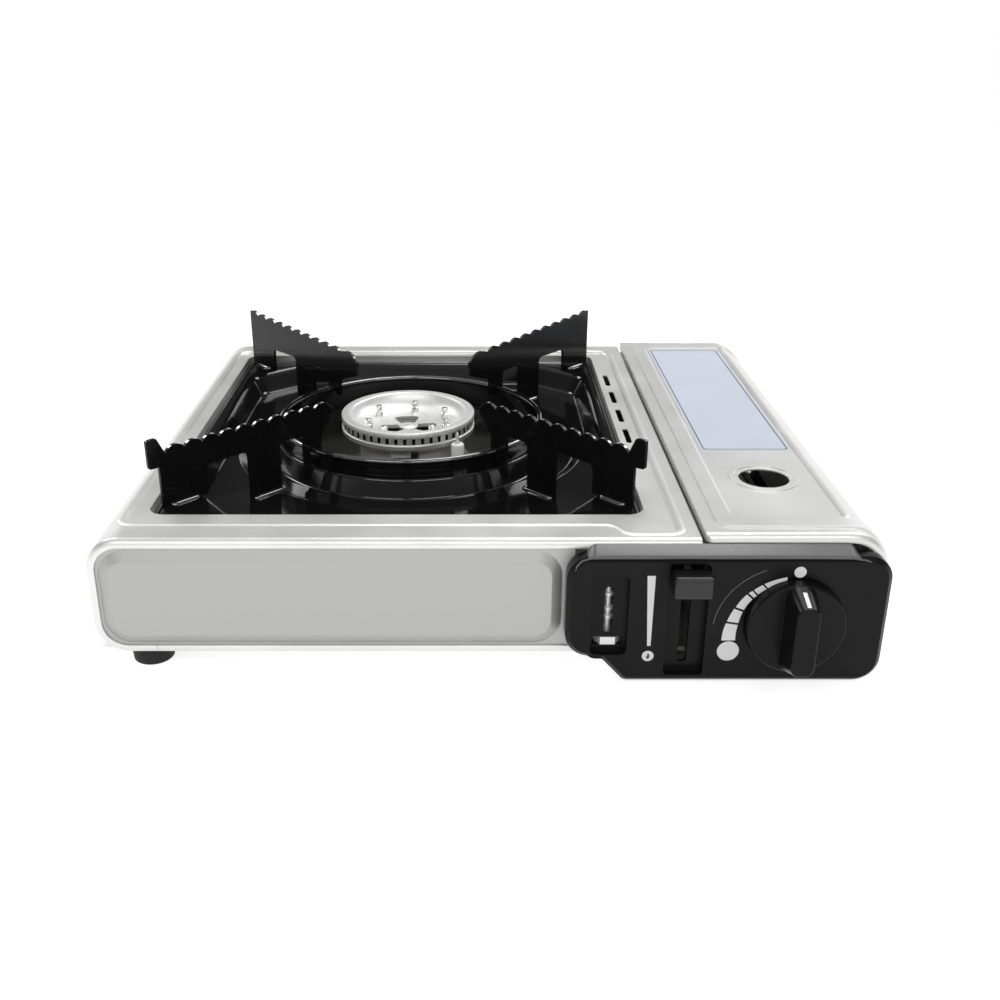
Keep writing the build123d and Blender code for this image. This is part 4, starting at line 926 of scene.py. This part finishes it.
def makeBurnerHub(spec):
    chamber = [(radius, spec["floor"] + rise) for radius, rise in spec["chamber"]]
    points = [headPoint(radius, turn, z, spec) for radius, z in chamber for turn in turnSteps(64)]
    faces = ringFaces(len(chamber), 64)
    # the chamber under the windows, painted near-black as the shade seen through them
    newPiece("burnerChamber", points, faces, "housing", "cast_aluminium", paintedShadeMetal, 60.0, False)
    low = spec["floor"] + spec["hubLift"]
    hub = [(radius, low + rise * spec["hubRise"]) for radius, rise in spec["hub"]]
    points = [headPoint(radius, turn, z, spec) for radius, z in hub for turn in turnSteps(40)]
    faces = ringFaces(len(hub), 40)
    newPiece("burnerHub", points, faces, "housing", "cast_aluminium", smoothAngle=60.0, outward=False)


makeBurnerHead(headSpec)
makeBurnerFloor(headSpec)
makeBurnerHub(headSpec)
print("burner head cast")


# tab pressed out of the bracket at the front of the cup
tabSpec = {
    "x": (-50.6, -39.8),
    "z": (51.3, 54.6),
    "y": (-5.6, -3.2),
    "corner": 0.5,
    "rounding": 0.25,
}


def makeCupTab(spec):
    loop = filletLoop(rectCorners(*spec["x"], *spec["z"]), [spec["corner"]] * 4, 4)
    tab = flatPlate("cupTab", loop, *spec["y"], "housing", "bright_steel", tabMetal, "xz")
    roundEdges(tab, spec["rounding"])


makeCupTab(tabSpec)
print("cup tab pressed")


# spark electrode: glazed ceramic with a soft shoulder, and a tapered pin
electrodeSpec = {
    "middle": (-14.7, -9.0),
    "ceramic": [
        (0.3, 31.2), (3.0, 31.2), (3.5, 31.7), (3.5, 60.2),
        (3.3, 60.7), (2.8, 61.05), (2.0, 61.2), (0.3, 61.25),
    ],
    "pin": [
        (0.3, 28.4), (0.8, 28.4), (0.8, 60.9), (1.5, 61.2), (1.35, 61.7),
        (0.95, 63.2), (0.8, 64.6), (0.62, 66.4), (0.4, 67.1), (0.1, 67.35),
    ],
}


def makeElectrode(spec):
    middle = spec["middle"]
    body = turnedPiece(
        "sparkCeramic", spec["ceramic"], middle, 40, "housing", "white_ceramic", smoothAngle=60.0
    )
    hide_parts("electrode_ceramic")
    pin = turnedPiece("sparkPin", spec["pin"], middle, 32, "housing", "bright_steel", tabMetal, 60.0)
    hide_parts("electrode_pin")


makeElectrode(electrodeSpec)
print("electrode set")


# nozzles standing in the burner's dish
jetSpec = {
    "angles": (29.0, 83.0, 139.0, 200.0, 238.5, 306.5, 338.0),
    "circle": 22.9,
    "low": 59.0,
    "top": 66.0,
    "radius": 2.2,
    "neck": 1.8,
    "bore": 0.6,
}


def makeJets(spec):
    r, neck, bore = spec["radius"], spec["neck"], spec["bore"]
    low, top = spec["low"], spec["top"]
    profile = [
        (r, low), (r, top - 3.4), (neck - 0.2, top - 3.0), (neck - 0.2, top - 2.5), (neck, top - 2.3),
        (neck, top - 0.6), (neck - 0.15, top - 0.2), (neck - 0.5, top), (bore, top), (bore, top - 3.0),
    ]
    for index, angle in enumerate(spec["angles"]):
        middle = aroundPoint(headSpec["middle"], spec["circle"], math.radians(angle))
        jet = turnedPiece("burnerNozzle" + str(index + 1), profile, middle, 32, "housing", "bright_steel")
        if index == 0:
            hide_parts("burner_jets")


makeJets(jetSpec)
print("nozzles turned")


# printed marks on the control moulding, as x and z on its face
markSpec = {
    "face": -148.0,
    "proud": 0.05,
    "smallDot": (130.3, 55.0, 2.55),
    "bigDot": (103.3, 17.1, 4.75),
    "wedge": [(66.5, 53.3), (70.0, 53.3), (69.8, 19.6), (68.3, 19.6)],
    "flameDot": (68.9, 14.6, 2.55),
    "drop": [(0.0, 0.62), (0.3, 0.05), (0.22, -0.42), (-0.05, -0.58), (-0.3, -0.3), (-0.12, 0.1)],
    "dropProud": 0.08,
    "sweep": [
        ([(100.0, 22.3), (100.35, 27.0), (101.3, 30.7)], [(105.9, 22.3), (105.95, 26.3), (106.4, 29.9)]),
        ([(101.6, 31.6), (102.75, 34.8), (104.2, 37.7)], [(106.6, 30.8), (107.1, 33.6), (107.9, 36.2)]),
        ([(104.75, 38.5), (106.8, 41.9), (109.0, 44.5)], [(108.35, 37.1), (109.75, 39.9), (111.5, 42.2)]),
        (
            [(109.6, 45.1), (110.4, 45.75), (111.15, 46.2)],
            [(112.05, 42.85), (112.65, 43.45), (113.15, 43.95)],
        ),
        ([(111.7, 46.6), (113.4, 47.9), (115.1, 49.0)], [(113.65, 44.55), (115.3, 45.95), (116.95, 47.1)]),
        ([(115.8, 49.45), (120.3, 51.4), (125.1, 52.7)], [(117.45, 47.5), (121.2, 49.6), (125.2, 51.3)]),
    ],
    "ridge": [
        (95.8, 30.4), (96.5, 34.4), (98.1, 39.1), (100.1, 43.0), (102.9, 46.9),
        (105.4, 49.4), (108.0, 51.5), (111.4, 53.8), (116.1, 56.0),
    ],
    "ridgeWidth": 0.4,
    "ridgeProud": 0.25,
}


def disc(x, z, radius, steps=40):
    return [aroundPoint((x, z), radius, turn) for turn in turnSteps(steps)]


def printMark(name, loop, spec, material, proud=None):
    near = spec["face"] - (proud or spec["proud"])
    flatPlate(name, loop, near, spec["face"] + 0.01, "housing", "black_plastic", material, "xz")


def throughThree(first, middle, last, steps=8):
    corner = tuple(2 * m - (a + b) / 2 for a, m, b in zip(first, middle, last))
    return softCorner(first, corner, last, steps)


def makeMarks(spec):
    printMark("markLow", disc(*spec["smallDot"]), spec, whitePrint)
    printMark("markHigh", disc(*spec["bigDot"]), spec, whitePrint)
    printMark("markWedge", spec["wedge"], spec, whitePrint)
    printMark("markFlame", disc(*spec["flameDot"]), spec, whitePrint)
    x, z, radius = spec["flameDot"]
    drop = [(x + radius * a, z + radius * b) for a, b in spec["drop"]]
    printMark("markDrop", drop, spec, darkInk, spec["dropProud"])
    for index, (outer, inner) in enumerate(spec["sweep"]):
        loop = throughThree(*outer) + throughThree(*inner)[::-1]
        printMark("markSweep" + str(index + 1), loop, spec, whitePrint)
    left, right = [], []
    for index, (x, z) in enumerate(spec["ridge"]):
        nx, nz = crossAt(spec["ridge"], index)
        reach = spec["ridgeWidth"] / 2
        left.append((x + nx * reach, z + nz * reach))
        right.append((x - nx * reach, z - nz * reach))
    # the ridge is in the grey plastic: painted sheen along its crest
    printMark("dialRidge", left + right[::-1], spec, sheenPlastic, spec["ridgeProud"])


makeMarks(markSpec)
print("panel marks printed")


# sloped strip that closes the moulding's top towards the lid, as y and z
stripSpec = {
    "x": (41.5, 155.5),
    "section": [
        (-147.75, 61.0), (-147.6, 61.6), (-147.1, 62.0), (-146.4, 62.3),
        (-141.0, 64.6), (-140.5, 64.75), (-140.25, 64.5), (-140.25, 61.2),
    ],
    "taper": 4.0,
    "least": 0.05,
    "steps": 8,
}
beadSpec = {
    "path": [
        (36.0, 54.5), (36.9, 57.6), (38.9, 60.0), (42.2, 61.15), (46.0, 61.3), (60.0, 61.3), (100.0, 61.3),
        (140.0, 61.3), (152.0, 61.2), (157.6, 60.3), (161.4, 58.4), (164.0, 55.4), (165.1, 51.5),
    ],
    "face": -147.75,
    "radius": 0.42,
    "endShare": 0.3,
    "flatness": 0.5,
    "steps": 12,
}


def makeTopStrip(spec):
    x0, x1 = spec["x"]
    left = []
    for step in range(spec["steps"] + 1):
        t = step / spec["steps"]
        share = spec["least"] + (1 - spec["least"]) * math.sin(math.pi / 2 * t)
        left.append((x0 + spec["taper"] * t, share))
    stations = left + [(x1 - (x - x0), share) for x, share in reversed(left)]
    low = spec["section"][0][1]
    points = []
    for x, share in stations:
        points += [(x, y, low + (z - low) * share) for y, z in spec["section"]]
    faces = tubeFaces(len(stations), len(spec["section"]))
    # the strip is in the grey plastic: painted sheen on the black moulding's top
    newPiece("panelTopStrip", points, faces, "housing", "black_plastic", sheenPlastic, 50.0)


def makeEdgeBead(spec):
    line = spec["path"]
    points = []
    for index, (x, z) in enumerate(line):
        nx, nz = crossAt(line, index)
        reach = spec["radius"] * (spec["endShare"] if index in (0, len(line) - 1) else 1.0)
        for roll in turnSteps(spec["steps"]):
            side = reach * math.cos(roll)
            y = spec["face"] - reach * math.sin(roll) * spec["flatness"]
            points.append((x + nx * side, y, z + nz * side))
    faces = tubeFaces(len(line), spec["steps"])
    # the bead is in the grey plastic: painted highlight along the panel's top edge
    newPiece("panelEdgeBead", points, faces, "housing", "black_plastic", sheenPlastic, 60.0)


makeTopStrip(stripSpec)
makeEdgeBead(beadSpec)
print("top strip laid")


# soft rolls pressed along the deck's field, the lid's field and the tray's rim
rollSpec = {
    "deckField": [
        (-159.0, -122.0), (55.5, -122.0), (60.5, -132.0), (81.5, -132.0), (81.5, 152.0), (-159.0, 152.0),
    ],
    "deckRound": [5.0, 9.0, 5.0, 5.0, 9.0, 9.0],
    "deckSection": [(-0.7, 64.95), (-0.1, 65.7), (0.6, 66.25), (1.5, 66.45), (2.5, 66.3), (3.6, 65.95)],
    "lidField": [(104.5, -124.0), (156.0, -124.0), (156.0, 162.0), (104.5, 162.0)],
    "lidRound": [5.0, 5.0, 8.0, 8.0],
    "lidSection": [(-2.2, 68.4), (-1.4, 68.95), (-0.4, 69.25), (0.7, 69.25), (1.7, 68.95), (2.5, 68.4)],
    "trayInset": 1.7,
    "trayRound": [8.0] * 4,
    "traySection": [(-1.3, 60.6), (-0.9, 61.3), (0.0, 61.6), (0.9, 61.3), (1.3, 60.6)],
}


def makeRoll(name, loop, section, body, slot, material=None):
    points = []
    for index, (x, y) in enumerate(loop):
        bx, by = loop[index - 1]
        ax, ay = loop[(index + 1) % len(loop)]
        dx, dy = ax - bx, ay - by
        length = math.hypot(dx, dy)
        nx, ny = dy / length, -dx / length
        points += [(x + nx * out, y + ny * out, z) for out, z in section]
    newPiece(name, points, bandFaces(len(loop), len(section)), body, slot, material, 70.0)


def splitLong(loop, reach=6.0):
    fine = []
    for index, (x, y) in enumerate(loop):
        ax, ay = loop[(index + 1) % len(loop)]
        parts = max(1, int(math.hypot(ax - x, ay - y) / reach))
        fine += [(x + (ax - x) * part / parts, y + (ay - y) * part / parts) for part in range(parts)]
    return fine


def makeRolls(spec):
    deck = splitLong(filletLoop(spec["deckField"], spec["deckRound"], 8))
    makeRoll("deckRoll", deck, spec["deckSection"], "housing", "satin_steel")
    lid = splitLong(filletLoop(spec["lidField"], spec["lidRound"], 8))
    makeRoll("lidRoll", lid, spec["lidSection"], "lid", "satin_steel")
    x, y = traySpec["middle"]
    halfX, halfY = traySpec["halfWidth"] - spec["trayInset"], traySpec["halfDepth"] - spec["trayInset"]
    rim = splitLong(filletLoop(rectCorners(x - halfX, x + halfX, y - halfY, y + halfY), spec["trayRound"], 8))
    makeRoll("trayRimRoll", rim, spec["traySection"], "tray", "black_enamel", edgeEnamel)


makeRolls(rollSpec)
print("rolls pressed")


# dark plate behind the deck's vents, against the bay wall: painted shade, so that the vents show dark
ventShadeSpec = {
    "x": (71.5, 88.1),
    "y": (-66.0, 116.0),
    "z": (55.0, 55.6),
}


def makeVentShadePlate(spec):
    loop = filletLoop(rectCorners(*spec["x"], *spec["y"]), [2.0] * 4, 3)
    flatPlate("ventShadePlate", loop, *spec["z"], "housing", "inner_steel", paintedShadeMetal)


makeVentShadePlate(ventShadeSpec)
print("vent gutter set")


# dark sill with a raised lip that closes the slit between the bay's floor and the lid's skirt: painted shade,
# a dark sheet in place of the shadow seen through the slit
slitShadeSpec = {
    "x": (163.6, 170.1),
    "y": (-64.0, 94.0),
    "floor": 2.7,
    "lip": 10.6,
    "sheet": 0.4,
}


def makeBaySlitShade(spec):
    inner, outer = spec["x"]
    low, lip = spec["floor"], spec["lip"]
    high, wall = low + spec["sheet"], outer - spec["sheet"]
    loop = [(inner, low), (outer, low), (outer, lip), (wall, lip), (wall, high), (inner, high)]
    flatPlate("baySlitShade", loop, *spec["y"], "housing", "satin_steel", paintedShadeMetal, "xz")


makeBaySlitShade(slitShadeSpec)
print("bay sill laid")


# thin dark border on the bare label
labelBorder = {
    "x": (108.0, 153.0),
    "y": (-40.0, 146.0),
    "inset": 1.2,
    "line": 0.55,
    "corner": 2.0,
    "top": 68.85,
    "thickness": 0.06,
}


def makeLabelBorder(spec):
    (x0, x1), (y0, y1) = spec["x"], spec["y"]
    both = []
    for inset in (spec["inset"], spec["inset"] + spec["line"]):
        corners = rectCorners(x0 + inset, x1 - inset, y0 + inset, y1 - inset)
        both += filletLoop(corners, [spec["corner"]] * 4, 6)
    points = [(a, b, level) for level in (spec["top"] - spec["thickness"], spec["top"]) for a, b in both]
    count = len(both) // 2
    faces = []
    for index in range(count):
        after = (index + 1) % count
        faces.append((2 * count + index, 2 * count + after, 3 * count + after, 3 * count + index))
        faces.append((index, after, 2 * count + after, 2 * count + index))
        faces.append((count + after, count + index, 3 * count + index, 3 * count + after))
        faces.append((after, index, count + index, count + after))
    newPiece("labelBorder", points, faces, "lid", "label_film", darkInk)


makeLabelBorder(labelBorder)
print("label bordered")


# pointer on the knob's sloped top
pointerSpec = {
    "x": 130.0,
    "width": 1.7,
    "near": (-166.4, 48.05),
    "far": (-157.6, 50.49),
    "lifts": (-0.02, 0.06),
}


def makePointer(spec):
    (y0, z0), (y1, z1) = spec["near"], spec["far"]
    length = math.hypot(y1 - y0, z1 - z0)
    ny, nz = -(z1 - z0) / length, (y1 - y0) / length
    half = spec["width"] / 2
    points = []
    for lift in spec["lifts"]:
        for y, z in ((y0, z0), (y1, z1)):
            for x in (spec["x"] - half, spec["x"] + half):
                points.append((x, y + ny * lift, z + nz * lift))
    faces = [(0, 1, 3, 2), (4, 6, 7, 5), (0, 4, 5, 1), (2, 3, 7, 6), (0, 2, 6, 4), (1, 5, 7, 3)]
    newPiece("knobPointer", points, faces, "knob", "black_plastic", whitePrint)


makePointer(pointerSpec)
print("pointer printed")


# pale glowing floor with a painted shadow under the stove, studio sky and soft boxes
studioSpec = {
    "floorHalf": 40.0,
    "floorColour": (0.55, 0.55, 0.55),
    "floorGlow": 0.78,
    "shadowFootprint": (0.181, 0.13),
    "middle": (0.0, 0.012, 0.0),
    "fade": (0.94, 1.0),
    "rearSky": [(0.0, 1.0), (0.21, 1.0), (0.26, 0.05), (0.6, 0.07), (0.72, 0.5), (1.0, 0.5)],
    "frontSky": [(0.0, 1.0), (0.21, 1.0), (0.3, 0.25), (0.62, 0.25), (0.74, 0.5), (1.0, 0.5)],
    "skyStrength": 1.0,
    "lamps": [
        {"name": "overheadBox", "at": (0.22, 0.5, 1.25), "size": (0.7, 0.4), "power": 5.8},
        {"name": "rearLeftBox", "at": (-1.1, 0.86, 1.12), "size": (0.6, 0.42), "power": 5.4},
        {"name": "rearRightBox", "at": (1.02, 0.86, 1.12), "size": (0.6, 0.42), "power": 5.4},
        {"name": "frontLeftBox", "at": (-0.62, -1.42, 1.25), "size": (0.95, 0.26), "power": 5.6},
        {"name": "frontRightBox", "at": (0.52, -1.46, 1.25), "size": (1.05, 0.26), "power": 6.0},
    ],
    "aim": (-0.04, 0.13, 0.05),
}


def larger(tree, one, other):
    node = addNode(tree, "ShaderNodeMath", operation="MAXIMUM")
    tree.links.new(one, node.inputs[0])
    tree.links.new(other, node.inputs[1])
    return node.outputs["Value"]


# 1 for camera, glossy and transmission rays, so that the glow is seen but doesn't light
def visibleShare(tree):
    path = addNode(tree, "ShaderNodeLightPath")
    total = path.outputs["Is Camera Ray"]
    for ray in ("Is Glossy Ray", "Is Transmission Ray"):
        total = larger(tree, total, path.outputs[ray])
    return total


# below 1 inside the rectangle under the stove, where the floor's glow is cut back into a painted shadow
def shadowFootprint(tree, size, middle):
    split = addNode(tree, "ShaderNodeSeparateXYZ")
    stretch = (1 / size[0], 1 / size[1], 1.0)
    tree.links.new(objectPoint(tree, stretch, middle), split.inputs["Vector"])
    sides = []
    for axis in ("X", "Y"):
        side = addNode(tree, "ShaderNodeMath", operation="ABSOLUTE")
        tree.links.new(split.outputs[axis], side.inputs[0])
        sides.append(side.outputs["Value"])
    return larger(tree, *sides)


def makeFloor(spec):
    half = spec["floorHalf"]
    corners = [(x, y, 0) for x, y in rectCorners(-half, half, -half, half)]
    mesh = bpy.data.meshes.new("studioFloor")
    mesh.from_pydata(corners, [], [(0, 1, 2, 3)])
    look = {"Roughness": 0.9, "Specular IOR Level": 0.1, "Emission Color": (1.0, 1.0, 1.0, 1.0)}
    material, tree, shader = newMaterial("paleFloor", look)
    shade = noiseField(tree, objectPoint(tree), 3.0, 2.0, 0.5)
    colour = spec["floorColour"]
    tree.links.new(tint(tree, shade, tuple(c * 0.995 for c in colour), colour), shader.inputs["Base Color"])
    # the glow fades to nothing under the stove: painted shadow
    glowBesideShadow = remap(
        tree, shadowFootprint(tree, spec["shadowFootprint"], spec["middle"]), 0.0, spec["floorGlow"], *spec["fade"]
    )
    glow = addNode(tree, "ShaderNodeMath", operation="MULTIPLY")
    tree.links.new(visibleShare(tree), glow.inputs[0])
    tree.links.new(glowBesideShadow, glow.inputs[1])
    tree.links.new(glow.outputs["Value"], shader.inputs["Emission Strength"])
    mesh.materials.append(material)
    floor = bpy.data.objects.new("studioFloor", mesh)
    bpy.context.scene.collection.objects.link(floor)


def skyRamp(tree, height, stops):
    ramp = addNode(tree, "ShaderNodeValToRGB")
    tree.links.new(height, ramp.inputs["Fac"])
    elements = ramp.color_ramp.elements
    elements[0].position, elements[1].position = stops[0][0], stops[-1][0]
    for position, level in stops[1:-1]:
        elements.new(position)
    for element, (position, level) in zip(elements, stops):
        element.position = position
        element.color = (level, level, level, 1.0)
    return ramp.outputs["Color"]


def makeSky(spec):
    world = bpy.data.worlds.new("studioSky")
    world.use_nodes = True
    tree = world.node_tree
    background = tree.nodes["Background"]
    coordinates = addNode(tree, "ShaderNodeTexCoord")
    split = addNode(tree, "ShaderNodeSeparateXYZ")
    tree.links.new(coordinates.outputs["Generated"], split.inputs["Vector"])
    blend = addNode(tree, "ShaderNodeMix", data_type="RGBA")
    tree.links.new(remap(tree, split.outputs["Y"], 0.0, 1.0, -0.3, 0.1), blend.inputs[0])
    tree.links.new(skyRamp(tree, split.outputs["Z"], spec["frontSky"]), blend.inputs[6])
    tree.links.new(skyRamp(tree, split.outputs["Z"], spec["rearSky"]), blend.inputs[7])
    tree.links.new(blend.outputs[2], background.inputs["Color"])
    background.inputs["Strength"].default_value = spec["skyStrength"]
    bpy.context.scene.world = world


def makeLamps(spec):
    for lamp in spec["lamps"]:
        data = bpy.data.lights.new(lamp["name"], "AREA")
        data.shape = "RECTANGLE"
        data.size, data.size_y = lamp["size"]
        data.energy = lamp["power"]
        light = bpy.data.objects.new(lamp["name"], data)
        light.location = lamp["at"]
        aim = Vector(spec["aim"]) - Vector(lamp["at"])
        light.rotation_euler = aim.to_track_quat("-Z", "Y").to_euler()
        bpy.context.scene.collection.objects.link(light)


makeFloor(studioSpec)
makeSky(studioSpec)
makeLamps(studioSpec)
print("studio lit")
